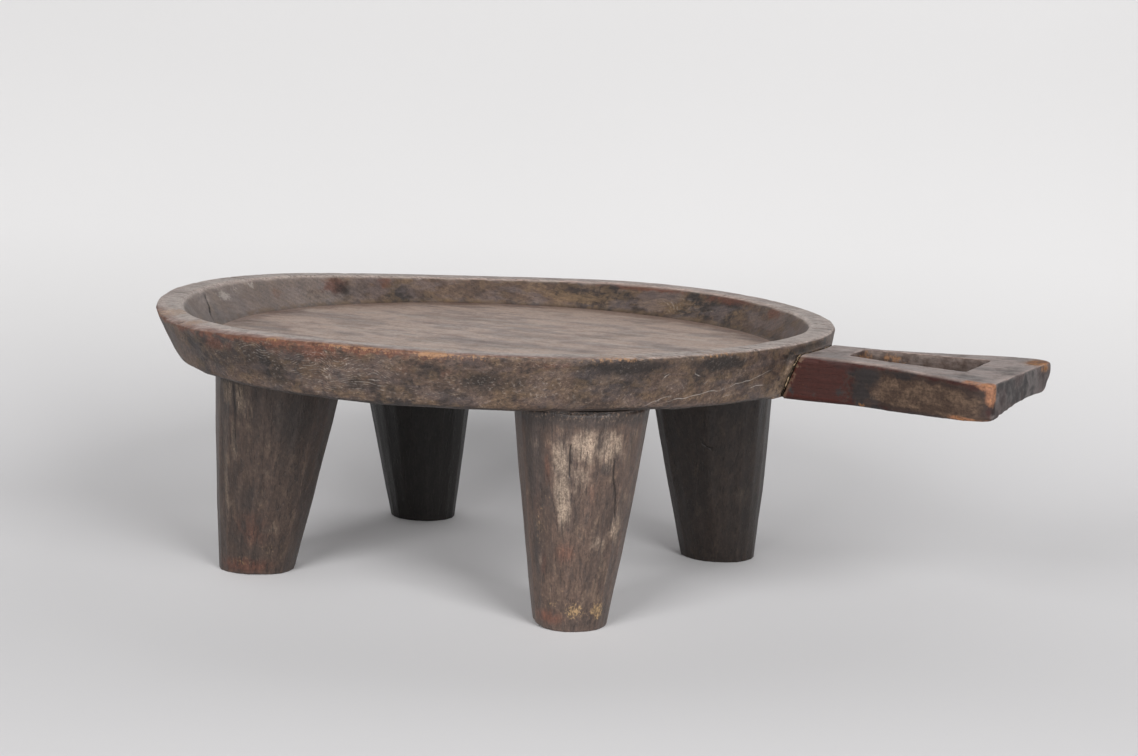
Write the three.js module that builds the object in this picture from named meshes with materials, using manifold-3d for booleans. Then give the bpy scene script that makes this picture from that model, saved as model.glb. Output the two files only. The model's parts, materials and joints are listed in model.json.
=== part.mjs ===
// A low round serving tray carved from a dark hardwood: a shallow dish with a flared wall, four
// tapered legs tenoned into its underside, and a flat handle with a finger slot let into its wall.
// Millimetres, +Z up, +X along the handle, the feet on z = 0.
import * as THREE from 'three';
import { mergeVertices } from 'three/addons/utils/BufferGeometryUtils.js';
import Module from 'manifold-3d';

const wasm = await Module();
wasm.setup();

// Driving dimensions, in millimetres, with angles in degrees.
// Joinery
const fit = 0.3;                    // gap left all round between two fitted pieces
const cutOverrun = 1;               // a cutter starts this much outside what it cuts

// Carving by eye: the tables of lobes give shares of this swell
const carvedSwell = 2;

// Legs, no two alike: each has its own shares of these common sizes
const legHeight = 131;              // ground to the underside of the dish
const legHeadRadius = 40.7;
const legFootRadius = 23.2;
const legSetback = 54;              // the underside's edge to the middle of a leg's head
const legLean = 10;                 // the head's middle to the foot's, in the direction that lean gives
const footWearHeight = 3.6;         // worn edge round the foot
const footWearInset = 2;
const footChipHeight = 2.4;         // the worst knock on a foot's edge
const legFlats = 20;                // knife flats round a leg
const flatDepth = 0.45;             // how far the flats wander off a true cone
const legBelly = 0.6;               // swelling of a leg's sides at mid height
const footChipSpread = 24;          // half the arc that a knock has taken off a foot's edge
const legs = [
  {
    name: 'leg_left', bearing: -138.3, setback: 1.209, head: 0.983,
    foot: 1.034, lean: [-1.62, 0.2], turn: 20, chip: 0.3, chipBearing: -60,
  },
  {
    name: 'leg_front', bearing: -43.1, setback: 0.897, head: 0.973,
    foot: 0.948, lean: [-0.26, -0.08], turn: 75, chip: 1, chipBearing: -140,
  },
  {
    name: 'leg_right', bearing: 40.8, setback: 1.03, head: 1.025,
    foot: 1.047, lean: [0.46, 1.58], turn: 140, chip: 0.4, chipBearing: 95,
  },
  {
    name: 'leg_back', bearing: 136.9, setback: 0.868, head: 1.022,
    foot: 0.978, lean: [0.64, 0.26], turn: 260, chip: 0.2, chipBearing: 20,
  },
];

// Leg tenons and the hidden wedges that spread them
const tenonRadius = 17;
const tenonLength = 9;
const wedgeLength = 26;             // across the tenon
const wedgeHeight = 7;
const wedgeTopThickness = 3.4;
const wedgeTipThickness = 1.4;

// Dish
const dishHeight = 31.8;            // underside to the top of the rim
const rimRadius = 210;
const rimWidth = 16.4;
const wallFlare = 11;               // the rim stands this far outside the underside's edge
const innerWallRun = 13.6;          // the rim's inner edge stands this far outside the floor's
const undersideEdgeRound = 7;
const rimOuterRound = 2.6;
const rimInnerRound = 1.8;
const slabThickness = 12.8;         // wood under the floor
const floorFilletRise = 3.2;        // soft turn from the wall into the floor groove
const grooveWidth = 3;              // tool groove where the wall meets the floor
const grooveDepth = 1.1;
const dishSides = 96;

// Unevenness of the hand carving: so many lobes round the dish, how far each swells, where it peaks
const rimPlanWaves = [
  { lobes: 2, share: 1.1, peak: 0 },
  { lobes: 3, share: 0.7, peak: 53 },
  { lobes: 5, share: 0.35, peak: 28 },
];
const undersidePlanWaves = [
  { lobes: 1, share: 1.95, peak: 26 },
  { lobes: 2, share: 0.75, peak: -5 },
  { lobes: 3, share: 1.45, peak: 14 },
];
const rimHeightWaves = [
  { lobes: 1, share: 1, peak: -75 },
  { lobes: 3, share: 0.4, peak: 58 },
  { lobes: 4, share: 0.4, peak: -8 },
];
const rimWearDepth = 2.6;           // the outer rim edge is worn down by handling
const rimWearBearing = -124;
const rimWearSpread = 20;

// Handle
const handleLength = 128;           // rim to the middle of the end face
const handleRootOffset = 0;         // its middle line leaves the dish this far left of the dish's axis
const handleOffset = 4;             // and reaches the end this far left of it
const handleTopDrop = 4.8;          // its top lies this far below the rim
const handleTopFall = 1.5;          // and falls this much more on the way to the end
const handleRootHalfWidth = 27;
const handleWaistHalfWidth = 31;
const handleWaistAt = 41;           // rim to the narrow waist
const handleFlareHalfWidth = 46;
const handleFlareAt = 82;           // rim to the middle of the flare
const handleEndHalfWidth = 59;
const handleTipRun = 17;            // the sides run nearly straight for this much before the end
const handleTipSpread = 2;          // and spread this much over it
const handleEndSkew = 2;            // the end face runs this much out of square each way
const handleUnderRise = 4;          // its front underside rises this much at the end
const archRise = 4;                 // hollow of the finger arch at the end
const archTilt = 3.5;               // the back edge is thinner than the front by this much
const frontCornerRound = 4;
const backCornerRound = 12;
const backCornerWear = 9;           // its lower back corner is knocked off by this much
const edgeRound = 2;
const handleStations = 14;          // sections along the handle
const stationCrowding = 1.6;        // above 1, the sections crowd towards the rounded end
const cornerWearRun = 8;            // the higher, the shorter the worn stretch of the lower back corner
const archSteps = 8;                // facets across the finger arch

// Finger slot, cut right through the handle
const slotSetback = 26;             // rim to its near end
const slotLength = 73;
const slotOffset = 7.5;             // its middle line, left of the dish's axis
const slotNearHalfWidth = 15.8;
const slotFarHalfWidth = 26.5;
const slotCornerRound = 3;
const slotDraft = 1.6;              // its walls close in by this much at the underside

// Seat for the handle: the wall swells out to meet it, most at the top
const seatProud = 4.5;              // its face passes this far outside the rim
const seatTuck = 3;                 // and this far inside the underside's edge
const seatFlare = 7;                // how much wider the seat is each side where it leaves the wall
const seatRelief = 1.5;             // the wall is pared back this far beyond the handle's sides
const handleBury = 2.4;             // the uncut handle starts this far inside the seat's face

// Tongue that lets the handle into the dish wall, its two pegs, and the filler in the seam
const tongueWidth = 34;
const tongueThickness = 10.5;
const tongueRise = 3.4;             // wood under the tongue
const tongueRoot = 12;              // how far it is buried in the handle
const pegRadius = 3;
const pegSpacing = 18;
const pegEdge = 5.6;                // the seat's face to the middle of a peg
const pegFromTongueEnd = 7.5;
const pegLength = 20;
const fillerThickness = 1.2;

// Values worked out from these
const degree = Math.PI / 180;
const rimTop = legHeight + dishHeight;
const floorLevel = legHeight + slabThickness;
const innerRimRadius = rimRadius - rimWidth;
const undersideRadius = rimRadius - wallFlare;
const floorRadius = innerRimRadius - innerWallRun;
const handleReach = rimRadius + handleLength;
const slotStart = rimRadius + slotSetback;
const handleTop = rimTop - handleTopDrop;
const wallSlope = wallFlare / dishHeight;
const tongueBottom = legHeight + tongueRise;

// Helpers for closed meshes and solids

function toSolid(geometry) {
  const bare = geometry.clone();
  bare.deleteAttribute('normal');
  bare.deleteAttribute('uv');
  const merged = mergeVertices(bare, 1e-4);
  const corners = merged.index.array;
  const kept = [];
  for (let i = 0; i < corners.length; i += 3) {
    const [a, b, c] = [corners[i], corners[i + 1], corners[i + 2]];
    if (a !== b && b !== c && c !== a) {
      kept.push(a, b, c);
    }
  }
  const mesh = new wasm.Mesh({
    numProp: 3,
    vertProperties: new Float32Array(merged.attributes.position.array),
    triVerts: new Uint32Array(kept),
  });
  return new wasm.Manifold(mesh);
}

function toGeometry(solid) {
  const mesh = solid.getMesh();
  const geometry = new THREE.BufferGeometry();
  geometry.setAttribute('position', new THREE.BufferAttribute(new Float32Array(mesh.vertProperties), 3));
  geometry.setIndex(new THREE.BufferAttribute(new Uint32Array(mesh.triVerts), 1));
  return geometry.toNonIndexed();
}

// Moves every vertex of a geometry to where change(point) puts it.
function reshape(geometry, change) {
  const places = geometry.attributes.position;
  const point = new THREE.Vector3();
  for (let i = 0; i < places.count; i += 1) {
    point.fromBufferAttribute(places, i);
    change(point);
    places.setXYZ(i, point.x, point.y, point.z);
  }
  return geometry;
}

// A profile of (radius, height) points turned about the Z axis.
function turned(profile, sides) {
  return new THREE.LatheGeometry(profile, sides).rotateX(Math.PI / 2);
}

function roundBar(radius, bottom, length, x, y) {
  const bar = new THREE.CylinderGeometry(radius, radius, length, 40);
  bar.rotateX(Math.PI / 2);
  bar.translate(x, y, bottom + length / 2);
  return toSolid(bar);
}

function block(low, high) {
  const size = high.map((value, axis) => value - low[axis]);
  const box = new THREE.BoxGeometry(...size);
  box.translate(...low.map((value, axis) => value + size[axis] / 2));
  return toSolid(box);
}

// Skins closed rings of points, all with the same number of points, and caps both ends.
function lofted(rings, capShape) {
  const places = rings.flat().flatMap((point) => [point.x, point.y, point.z]);
  const count = rings[0].length;
  const faces = [];
  for (let r = 0; r + 1 < rings.length; r += 1) {
    for (let i = 0; i < count; i += 1) {
      const a = r * count + i;
      const b = r * count + ((i + 1) % count);
      faces.push(a, b, a + count, b, b + count, a + count);
    }
  }
  const last = (rings.length - 1) * count;
  for (const [a, b, c] of THREE.ShapeUtils.triangulateShape(capShape, [])) {
    faces.push(a, c, b);
    faces.push(last + a, last + b, last + c);
  }
  const geometry = new THREE.BufferGeometry();
  geometry.setAttribute('position', new THREE.Float32BufferAttribute(places, 3));
  geometry.setIndex(faces);
  return geometry;
}

// The middle of a leg's head, which its tenon and wedge share.
function headPlace({ bearing, setback }) {
  const out = undersideRadius - legSetback * setback;
  return [out * Math.cos(bearing * degree), out * Math.sin(bearing * degree)];
}

// The dish

function wave(angle, terms) {
  let sum = 0;
  for (const { lobes, share, peak } of terms) {
    sum += share * carvedSwell * Math.cos(lobes * (angle - peak * degree));
  }
  return sum;
}

// 1 where an angle meets a bearing, falling away to 0 past its spread; both are in degrees.
function nearness(angle, bearing, spread) {
  const turnedBy = angle - bearing * degree;
  const away = Math.atan2(Math.sin(turnedBy), Math.cos(turnedBy)) / (spread * degree);
  return Math.exp(-(away ** 2));
}

// Carries a true turned form over to the hand-carved one.
function carveUneven(point) {
  const angle = Math.atan2(point.y, point.x);
  const radius = Math.hypot(point.x, point.y);
  const up = (point.z - legHeight) / dishHeight;
  const plan = THREE.MathUtils.lerp(wave(angle, undersidePlanWaves), wave(angle, rimPlanWaves), up);
  const outward = radius + plan * Math.min(1, (radius / floorRadius) ** 4);   // the middle stays put
  const wall = THREE.MathUtils.clamp((point.z - floorLevel) / (rimTop - floorLevel), 0, 1);
  const worn = rimWearDepth * nearness(angle, rimWearBearing, rimWearSpread);
  const onEdge = THREE.MathUtils.clamp((radius - innerRimRadius) / rimWidth, 0, 1);
  point.z += (wave(angle, rimHeightWaves) - worn * onEdge) * wall;
  point.x = outward * Math.cos(angle);
  point.y = outward * Math.sin(angle);
}

function dishProfile() {
  const innerWallSlope = innerWallRun / (rimTop - floorLevel);
  const path = new THREE.Path();
  path.moveTo(0, legHeight);
  path.lineTo(floorRadius / 2, legHeight);
  path.lineTo(undersideRadius - undersideEdgeRound, legHeight);
  path.quadraticCurveTo(
    undersideRadius, legHeight,
    undersideRadius + wallSlope * undersideEdgeRound, legHeight + undersideEdgeRound,
  );
  path.lineTo(rimRadius - wallSlope * rimOuterRound, rimTop - rimOuterRound);
  path.quadraticCurveTo(rimRadius, rimTop, rimRadius - rimOuterRound, rimTop);
  path.lineTo(innerRimRadius + rimInnerRound, rimTop);
  path.quadraticCurveTo(
    innerRimRadius, rimTop,
    innerRimRadius - innerWallSlope * rimInnerRound, rimTop - rimInnerRound,
  );
  path.lineTo(floorRadius + innerWallSlope * floorFilletRise, floorLevel + floorFilletRise);
  path.quadraticCurveTo(
    floorRadius, floorLevel,
    floorRadius - grooveWidth / 2, floorLevel - grooveDepth,
  );
  path.lineTo(floorRadius - grooveWidth, floorLevel);
  path.lineTo(floorRadius / 2, floorLevel);
  path.lineTo(0, floorLevel);
  return path.getPoints(3);
}

// What lies inside the face of the handle's seat, grown by a margin: the outer wall carried
// straight down past its rounded edge, and standing proud towards the top.
function seatFace(margin) {
  const low = legHeight - dishHeight;
  const high = rimTop + dishHeight;
  const slope = wallSlope + (seatProud + seatTuck) / dishHeight;
  const foot = undersideRadius - seatTuck;
  const profile = [
    new THREE.Vector2(0, low),
    new THREE.Vector2(foot - slope * dishHeight + margin, low),
    new THREE.Vector2(foot + margin, legHeight),
    new THREE.Vector2(rimRadius + seatProud + margin, rimTop),
    new THREE.Vector2(rimRadius + seatProud + slope * dishHeight + margin, high),
    new THREE.Vector2(0, high),
  ];
  return toSolid(reshape(turned(profile, dishSides), carveUneven));
}

// The swelling of the wall that carries the handle, as wide as the handle's root at its face.
function handleSeat() {
  const inner = innerRimRadius;
  const wall = rimRadius - seatFlare;
  const face = rimRadius + seatProud;
  const near = handleRootHalfWidth;
  const wide = handleRootHalfWidth + seatFlare;
  const outline = new THREE.Shape();
  outline.moveTo(inner, -wide);
  outline.lineTo(wall, -wide);
  outline.quadraticCurveTo(rimRadius, -near, face, -near);
  outline.lineTo(face + seatFlare, -near);
  outline.lineTo(face + seatFlare, near);
  outline.lineTo(face, near);
  outline.quadraticCurveTo(rimRadius, near, wall, wide);
  outline.lineTo(inner, wide);
  const depth = handleTop - legHeight;
  const form = new THREE.ExtrudeGeometry(outline, { depth, bevelEnabled: false, curveSegments: 5 });
  form.translate(0, handleRootOffset, legHeight);
  return toSolid(form).intersect(seatFace(0));
}

// The low part of the wall that is pared away so that the handle's root meets one even face.
function paredWall() {
  const half = handleRootHalfWidth + seatRelief;
  const slab = block(
    [innerRimRadius, handleRootOffset - half, legHeight - cutOverrun],
    [rimRadius + dishHeight, handleRootOffset + half, rimTop],
  );
  return slab.subtract(seatFace(0));
}

// How far the seat's face lies from the dish's axis, along the handle, at a height.
function seatRadius(height) {
  const up = (height - legHeight) / dishHeight;
  const even = THREE.MathUtils.lerp(undersideRadius - seatTuck, rimRadius + seatProud, up);
  return even + THREE.MathUtils.lerp(wave(0, undersidePlanWaves), wave(0, rimPlanWaves), up);
}

// The pegs stand as near to the seat's face as the wood allows, at their foot and at their top.
function pegPlaces() {
  const x = Math.min(seatRadius(legHeight), seatRadius(legHeight + pegLength)) - pegEdge;
  return [
    { name: 'handle_peg_front', x, y: handleRootOffset - pegSpacing / 2 },
    { name: 'handle_peg_back', x, y: handleRootOffset + pegSpacing / 2 },
  ];
}

function pegHoles() {
  return pegPlaces().map(({ x, y }) => (
    roundBar(pegRadius + fit, legHeight - cutOverrun, pegLength + fit + cutOverrun, x, y)
  ));
}

function tongue(margin) {
  const end = pegPlaces()[0].x - pegFromTongueEnd;
  return block(
    [end - margin, handleRootOffset - tongueWidth / 2 - margin, tongueBottom - margin],
    [
      rimRadius + seatProud + tongueRoot + margin,
      handleRootOffset + tongueWidth / 2 + margin,
      tongueBottom + tongueThickness + margin,
    ],
  );
}

function dish() {
  let solid = toSolid(reshape(turned(dishProfile(), dishSides), carveUneven));
  solid = solid.add(handleSeat()).subtract(paredWall());
  for (const spec of legs) {
    const depth = tenonLength + fit;
    const place = headPlace(spec);
    const socket = roundBar(tenonRadius + fit, legHeight - cutOverrun, depth + cutOverrun, ...place);
    solid = solid.subtract(socket);
  }
  solid = solid.subtract(tongue(fit));
  for (const hole of pegHoles()) {
    solid = solid.subtract(hole);
  }
  return solid;
}

// The legs

// A tapered blade that stands in the tenon's saw cut, its faces square to the dish's grain.
function wedgeForm(centre, margin) {
  const top = legHeight + tenonLength - fit / 2;
  const outline = new THREE.Shape();
  outline.moveTo(-wedgeTopThickness / 2 - margin, margin);
  outline.lineTo(-wedgeTipThickness / 2 - margin, -wedgeHeight - margin);
  outline.lineTo(wedgeTipThickness / 2 + margin, -wedgeHeight - margin);
  outline.lineTo(wedgeTopThickness / 2 + margin, margin);
  const length = wedgeLength + 2 * margin;
  const blade = new THREE.ExtrudeGeometry(outline, { depth: length, bevelEnabled: false });
  blade.translate(0, 0, -length / 2);
  blade.rotateX(Math.PI / 2);
  blade.translate(centre[0], centre[1], top);
  return toSolid(blade);
}

function leg(spec) {
  const top = legHeight - fit;
  const head = headPlace(spec);
  const headRadius = legHeadRadius * spec.head;
  const footRadius = legFootRadius * spec.foot;
  const profile = [
    new THREE.Vector2(0, 0),
    new THREE.Vector2(footRadius - footWearInset, 0),
    new THREE.Vector2(footRadius, footWearHeight),
    ...[1 / 3, 2 / 3].map((up) => new THREE.Vector2(
      THREE.MathUtils.lerp(footRadius, headRadius, up) + legBelly,
      THREE.MathUtils.lerp(footWearHeight, top, up),
    )),
    new THREE.Vector2(headRadius, top),
    new THREE.Vector2(0, top),
  ];
  const shaft = reshape(turned(profile, legFlats), (point) => {
    const bearing = Math.atan2(point.y, point.x);
    const angle = bearing + spec.turn * degree;
    const up = point.z / top;
    const radius = Math.hypot(point.x, point.y);
    if (radius > 0 && point.z < footWearHeight) {
      point.z += footChipHeight * spec.chip * nearness(bearing, spec.chipBearing, footChipSpread);
    }
    const swing = Math.cos(3 * angle + up) + Math.cos(7 * angle - 2 * up);
    const wander = flatDepth * swing * radius / headRadius;
    const scale = radius > 0 ? (radius + wander) / radius : 1;
    point.x = point.x * scale + head[0] + legLean * spec.lean[0] * (1 - up);
    point.y = point.y * scale + head[1] + legLean * spec.lean[1] * (1 - up);
  });
  const tenon = roundBar(tenonRadius, top - cutOverrun, tenonLength + cutOverrun, ...head);
  return toSolid(shaft).add(tenon).subtract(wedgeForm(head, fit));
}

// The handle

// Half widths along the handle: narrow at the dish, held in at the waist, then flaring to the end.
const handleStart = Math.min(rimRadius + seatProud, undersideRadius - seatTuck) - handleBury;
const handleSide = new THREE.SplineCurve([
  new THREE.Vector2(handleStart, handleRootHalfWidth),
  new THREE.Vector2(rimRadius + handleWaistAt, handleWaistHalfWidth),
  new THREE.Vector2(rimRadius + handleFlareAt, handleFlareHalfWidth),
  new THREE.Vector2(handleReach - handleTipRun, handleEndHalfWidth - handleTipSpread),
  new THREE.Vector2(handleReach, handleEndHalfWidth),
]);

// How far a rounded end corner has drawn in at x.
function cornerInset(x, round) {
  const past = Math.max(0, x - (handleReach - round));
  return round - Math.sqrt(Math.max(0, round * round - past * past));
}

function handleSection(along) {
  const { x, y: half } = handleSide.getPoint(along);
  const out = THREE.MathUtils.clamp((x - rimRadius) / (handleReach - rimRadius), 0, 1);
  const middle = THREE.MathUtils.lerp(handleRootOffset, handleOffset, Math.min(1, 2 * out));
  const front = middle - half + cornerInset(x, frontCornerRound);
  const back = middle + half - cornerInset(x, backCornerRound);
  const knocked = backCornerWear * out ** cornerWearRun;
  const top = handleTop - handleTopFall * out;
  const under = (y) => {
    const across = THREE.MathUtils.clamp((y - middle) / half, -1, 1);
    const hollow = archRise * (1 - across * across) + archTilt * (across + 1) / 2;
    return legHeight + handleUnderRise * out ** 3 + hollow * out ** 2;
  };
  const ring = [];
  for (let i = 0; i <= archSteps; i += 1) {
    const y = THREE.MathUtils.lerp(front + edgeRound, back - edgeRound - knocked, i / archSteps);
    ring.push(new THREE.Vector3(x, y, under(y)));
  }
  ring.push(new THREE.Vector3(x, back, under(back) + edgeRound + knocked));
  ring.push(new THREE.Vector3(x, back, top - edgeRound));
  ring.push(new THREE.Vector3(x, back - edgeRound, top));
  ring.push(new THREE.Vector3(x, front + edgeRound, top));
  ring.push(new THREE.Vector3(x, front, top - edgeRound));
  ring.push(new THREE.Vector3(x, front, under(front) + edgeRound));
  for (const point of ring) {
    point.x += handleEndSkew * out * (point.y - handleOffset) / handleEndHalfWidth;
  }
  return ring;
}

function handleBlade() {
  const rings = [];
  for (let i = 0; i <= handleStations; i += 1) {
    const even = i / handleStations;
    rings.push(handleSection(1 - (1 - even) ** stationCrowding));
  }
  const cap = rings[0].map((point) => new THREE.Vector2(point.y, point.z));
  return toSolid(lofted(rings, cap));
}

function fingerSlot() {
  const end = slotStart + slotLength;
  const corners = [
    [slotStart, slotOffset - slotNearHalfWidth],
    [end, slotOffset - slotFarHalfWidth],
    [end, slotOffset + slotFarHalfWidth],
    [slotStart, slotOffset + slotNearHalfWidth],
  ].map(([x, y]) => new THREE.Vector2(x, y));
  const outline = new THREE.Shape();
  corners.forEach((corner, i) => {
    const before = corners[(i + 3) % 4].clone().sub(corner).setLength(slotCornerRound).add(corner);
    const after = corners[(i + 1) % 4].clone().sub(corner).setLength(slotCornerRound).add(corner);
    if (i === 0) {
      outline.moveTo(before.x, before.y);
    } else {
      outline.lineTo(before.x, before.y);
    }
    outline.quadraticCurveTo(corner.x, corner.y, after.x, after.y);
  });
  const low = legHeight - dishHeight;
  const depth = 3 * dishHeight;
  const cutter = new THREE.ExtrudeGeometry(outline, { depth, bevelEnabled: false, curveSegments: 3 });
  cutter.translate(0, 0, low);
  const middle = slotStart + slotLength / 2;
  reshape(cutter, (point) => {
    const closing = slotDraft * (handleTop - point.z) / (handleTop - legHeight);
    point.x -= Math.sign(point.x - middle) * closing;
    point.y -= Math.sign(point.y - slotOffset) * closing;
  });
  return toSolid(cutter);
}

function handle() {
  const seam = fit + fillerThickness + fit;
  let solid = handleBlade().subtract(seatFace(seam)).add(tongue(0)).subtract(fingerSlot());
  for (const hole of pegHoles()) {
    solid = solid.subtract(hole);
  }
  return solid;
}

function seamFiller() {
  const layer = handleBlade().intersect(seatFace(fit + fillerThickness)).subtract(seatFace(fit));
  return layer.subtract(tongue(fit));
}

// Materials

function wood(colour, roughness) {
  return new THREE.MeshStandardMaterial({ color: colour, roughness, metalness: 0 });
}

const dishWood = wood(0x5c4a40, 0.62);
const legWood = wood(0x3f332d, 0.66);
const handleWood = wood(0x4a3028, 0.5);
const pegWood = wood(0x6d5138, 0.7);
const filler = wood(0x9c8466, 0.9);

// The assembly

const tray = new THREE.Group();

function place(name, solid, material) {
  const mesh = new THREE.Mesh(toGeometry(solid), material);
  mesh.name = name;
  tray.add(mesh);
}

place('dish', dish(), dishWood);
place('handle', handle(), handleWood);
place('handle_seam_filler', seamFiller(), filler);
for (const spec of legs) {
  place(spec.name, leg(spec), legWood);
  place(spec.name.replace('leg', 'wedge'), wedgeForm(headPlace(spec), 0), pegWood);
}
for (const { name, x, y } of pegPlaces()) {
  place(name, roundBar(pegRadius, legHeight + fit, pegLength - fit, x, y), pegWood);
}

// The origin lies on the ground under the middle of the whole outline.
const outline = new THREE.Box3().setFromObject(tray);
const middle = outline.getCenter(new THREE.Vector3());
tray.position.set(-middle.x, -middle.y, 0);

export default tray;
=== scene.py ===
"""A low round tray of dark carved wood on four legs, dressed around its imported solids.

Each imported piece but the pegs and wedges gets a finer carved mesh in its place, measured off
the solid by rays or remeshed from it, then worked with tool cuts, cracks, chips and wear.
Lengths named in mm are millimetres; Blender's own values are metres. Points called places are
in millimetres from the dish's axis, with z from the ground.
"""

import itertools
import json
import math

import bmesh
import bpy
import numpy as np
from bpy.props import FloatProperty, FloatVectorProperty, PointerProperty
from mathutils import Matrix, Vector
from mathutils.bvhtree import BVHTree


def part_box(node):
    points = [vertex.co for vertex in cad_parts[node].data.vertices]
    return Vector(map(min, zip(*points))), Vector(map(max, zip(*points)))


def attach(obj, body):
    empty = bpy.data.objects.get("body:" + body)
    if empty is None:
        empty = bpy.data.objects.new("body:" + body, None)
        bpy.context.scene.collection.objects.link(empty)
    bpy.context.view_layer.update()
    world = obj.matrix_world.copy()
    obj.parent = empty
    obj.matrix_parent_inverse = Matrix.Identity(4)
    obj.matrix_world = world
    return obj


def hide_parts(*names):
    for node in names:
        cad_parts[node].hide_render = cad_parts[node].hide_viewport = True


bl_info = {
    "name": "Carved Tray",
    "version": (1, 0, 0),
    "blender": (4, 5, 0),
    "location": "3D Viewport > Sidebar > Tray",
    "description": "Carves, finishes and lights a low wooden tray around its packed solids",
    "category": "Object",
}

MM = 0.001
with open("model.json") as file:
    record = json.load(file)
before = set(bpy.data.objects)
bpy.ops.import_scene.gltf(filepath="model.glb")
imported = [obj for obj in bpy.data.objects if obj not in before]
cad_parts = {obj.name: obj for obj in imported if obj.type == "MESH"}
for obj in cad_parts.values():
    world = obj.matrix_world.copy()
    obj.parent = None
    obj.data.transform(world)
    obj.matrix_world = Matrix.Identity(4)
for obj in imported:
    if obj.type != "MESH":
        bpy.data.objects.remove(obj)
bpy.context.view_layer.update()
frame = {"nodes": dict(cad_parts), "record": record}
mounts = {mount["name"]: Vector(mount["pos_m"]) for mount in frame["record"]["mounts"]}
AXIS = Vector((mounts["dish_floor"].x, mounts["dish_floor"].y, 0))
FLOOR_LEVEL = mounts["dish_floor"].z / MM
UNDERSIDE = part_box("dish")[0].z / MM
HANDLE_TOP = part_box("handle")[1].z / MM
HANDLE_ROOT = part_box("handle")[0].x
LEG_NAMES = ("left", "front", "right", "back")

SECTORS = 768  # round the dish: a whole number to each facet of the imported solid
FACETS = 96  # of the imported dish
LEG_SECTORS = 160  # round each leg
SEAM_LEAN = 0.464  # how far the handle's seam runs out for each mm that it rises
CUTTER_CLEAR = 4 * MM  # how far a cutting form stands out of the piece that it cuts
ALONG_HANDLE, UPRIGHT = 0, 2  # the axes that grain runs along


def srgb(red, green, blue):
    """Screen values from 0 to 255 as the linear colour that shaders take."""
    parts = (value / 255 for value in (red, green, blue))
    return tuple(p / 12.92 if p <= 0.04045 else ((p + 0.055) / 1.055) ** 2.4 for p in parts)


# Settings


def colour(name, description, *screen):
    """A colour, its default given as screen values from 0 to 255."""
    return FloatVectorProperty(
        name=name, description=description, default=srgb(*screen), subtype="COLOR", min=0, max=1
    )


def depth(name, description, default, highest=5.0):
    return FloatProperty(name=name, description=description, default=default, min=0, max=highest)


class DishSettings(bpy.types.PropertyGroup):
    """How deep the dish is worked, in millimetres, and its colours."""

    unevenness: depth("Unevenness", "How far broad lumps stand off the true form, in mm", 0.3)
    outer_cuts: depth("Outer wall cuts", "Depth of the knife cuts on the outer wall, in mm", 0.55)
    inner_cuts: depth("Inner wall cuts", "Depth of the gouge cuts on the inner wall, in mm", 0.6)
    floor_cuts: depth("Floor cuts", "Depth of the long cuts on the floor, in mm", 0.14)
    underside_cuts: depth("Underside cuts", "Depth of the adze cuts underneath, in mm", 0.9)
    edge_bites: depth("Rim bites", "Depth of the bites out of the worn rim edge, in mm", 1.3)
    crack_depth: depth("Crack depth", "Depth of the drying cracks, in mm", 0.9)
    dark: colour("Dark wood", "Smoked and handled wood", 44, 38, 36)
    brown: colour("Brown wood", "Plain old surface", 80, 64, 55)
    tan: colour("Tan wood", "Dry, dusty patches", 103, 85, 71)
    straw: colour("Straw wood", "Yellowish rough patches", 110, 89, 67)
    # Bloom and painted sheen: this grey also stands in for the glancing reflection on the walls,
    # rim and floor
    haze_and_painted_sheen: colour("Haze", "Grey bloom of dust and wax", 98, 87, 86)
    red: colour("Red wood", "Reddish oiled patches", 92, 56, 44)
    worn: colour("Bare wood", "Red-brown wood bared at the rim's edge", 104, 68, 54)
    ochre: colour("Ochre wood", "Yellow flecks in the bared edge", 152, 116, 84)
    # Partly painted sheen: the rim's and floor's pale colours also stand in for the glancing
    # reflection on these upward faces
    rim: colour("Rim", "The rim's rubbed grey-brown top", 162, 140, 131)
    floor: colour("Floor", "The floor's dry grey-brown", 168, 145, 131)
    pale: colour("Pale scuffs", "Whitish rubbed places", 182, 174, 166)


class HandleSettings(bpy.types.PropertyGroup):
    """How deep the handle is worked, in millimetres, and its colours."""

    cuts: depth("Knife cuts", "Depth of the knife cuts, in mm", 0.35)
    raggedness: depth("Corner raggedness", "Depth of the break at the knocked corner, in mm", 1.6)
    maroon: colour("Maroon", "Polished red-brown side", 55, 25, 20)
    dark: colour("Dark wood", "Smoked wood", 42, 38, 38)
    brown: colour("Brown wood", "Plain old surface", 62, 48, 41)
    tan: colour("Tan", "Dusty patch on the side", 100, 81, 67)
    # Bloom and painted sheen: this grey also stands in for the reflection on the handle's top and
    # end
    haze_and_painted_sheen: colour("Haze", "Grey bloom of wax", 112, 104, 102)
    # Partly painted sheen: the top's pale colour stands in for the glancing reflection on the
    # polished upper face
    top: colour("Top", "Rubbed upper face", 142, 127, 121)
    bare: colour("Bare wood", "Light wood at the knocked corners", 166, 116, 72)
    ember: colour("Ember", "Orange-brown wood round the bare corners", 132, 91, 68)


class LegSettings(bpy.types.PropertyGroup):
    """How deep the legs are worked, in millimetres, and their colours."""

    flutes: depth("Flutes", "Depth of the upright knife flutes, in mm", 0.5)
    crack_depth: depth("Crack depth", "Depth of the upright cracks, in mm", 0.8)
    dark: colour("Dark wood", "Smoked wood", 58, 50, 47)
    brown: colour("Brown wood", "Plain old surface", 85, 68, 59)
    tan: colour("Tan wood", "Dusty patches", 108, 89, 75)
    beige: colour("Beige bloom", "Dry beige speckles", 166, 147, 129)
    red: colour("Red wood", "Reddish streaks", 112, 66, 50)
    ochre: colour("Ochre", "Bared wood near the feet", 158, 130, 92)
    # Painted shade: this colour darkens the right and back legs, which stand in the tray's shade,
    # and also darkens the left leg's wood
    dark_wood_and_painted_shade: colour("Gloom", "Soot that darkens the legs at the back", 27, 25, 24)


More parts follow.
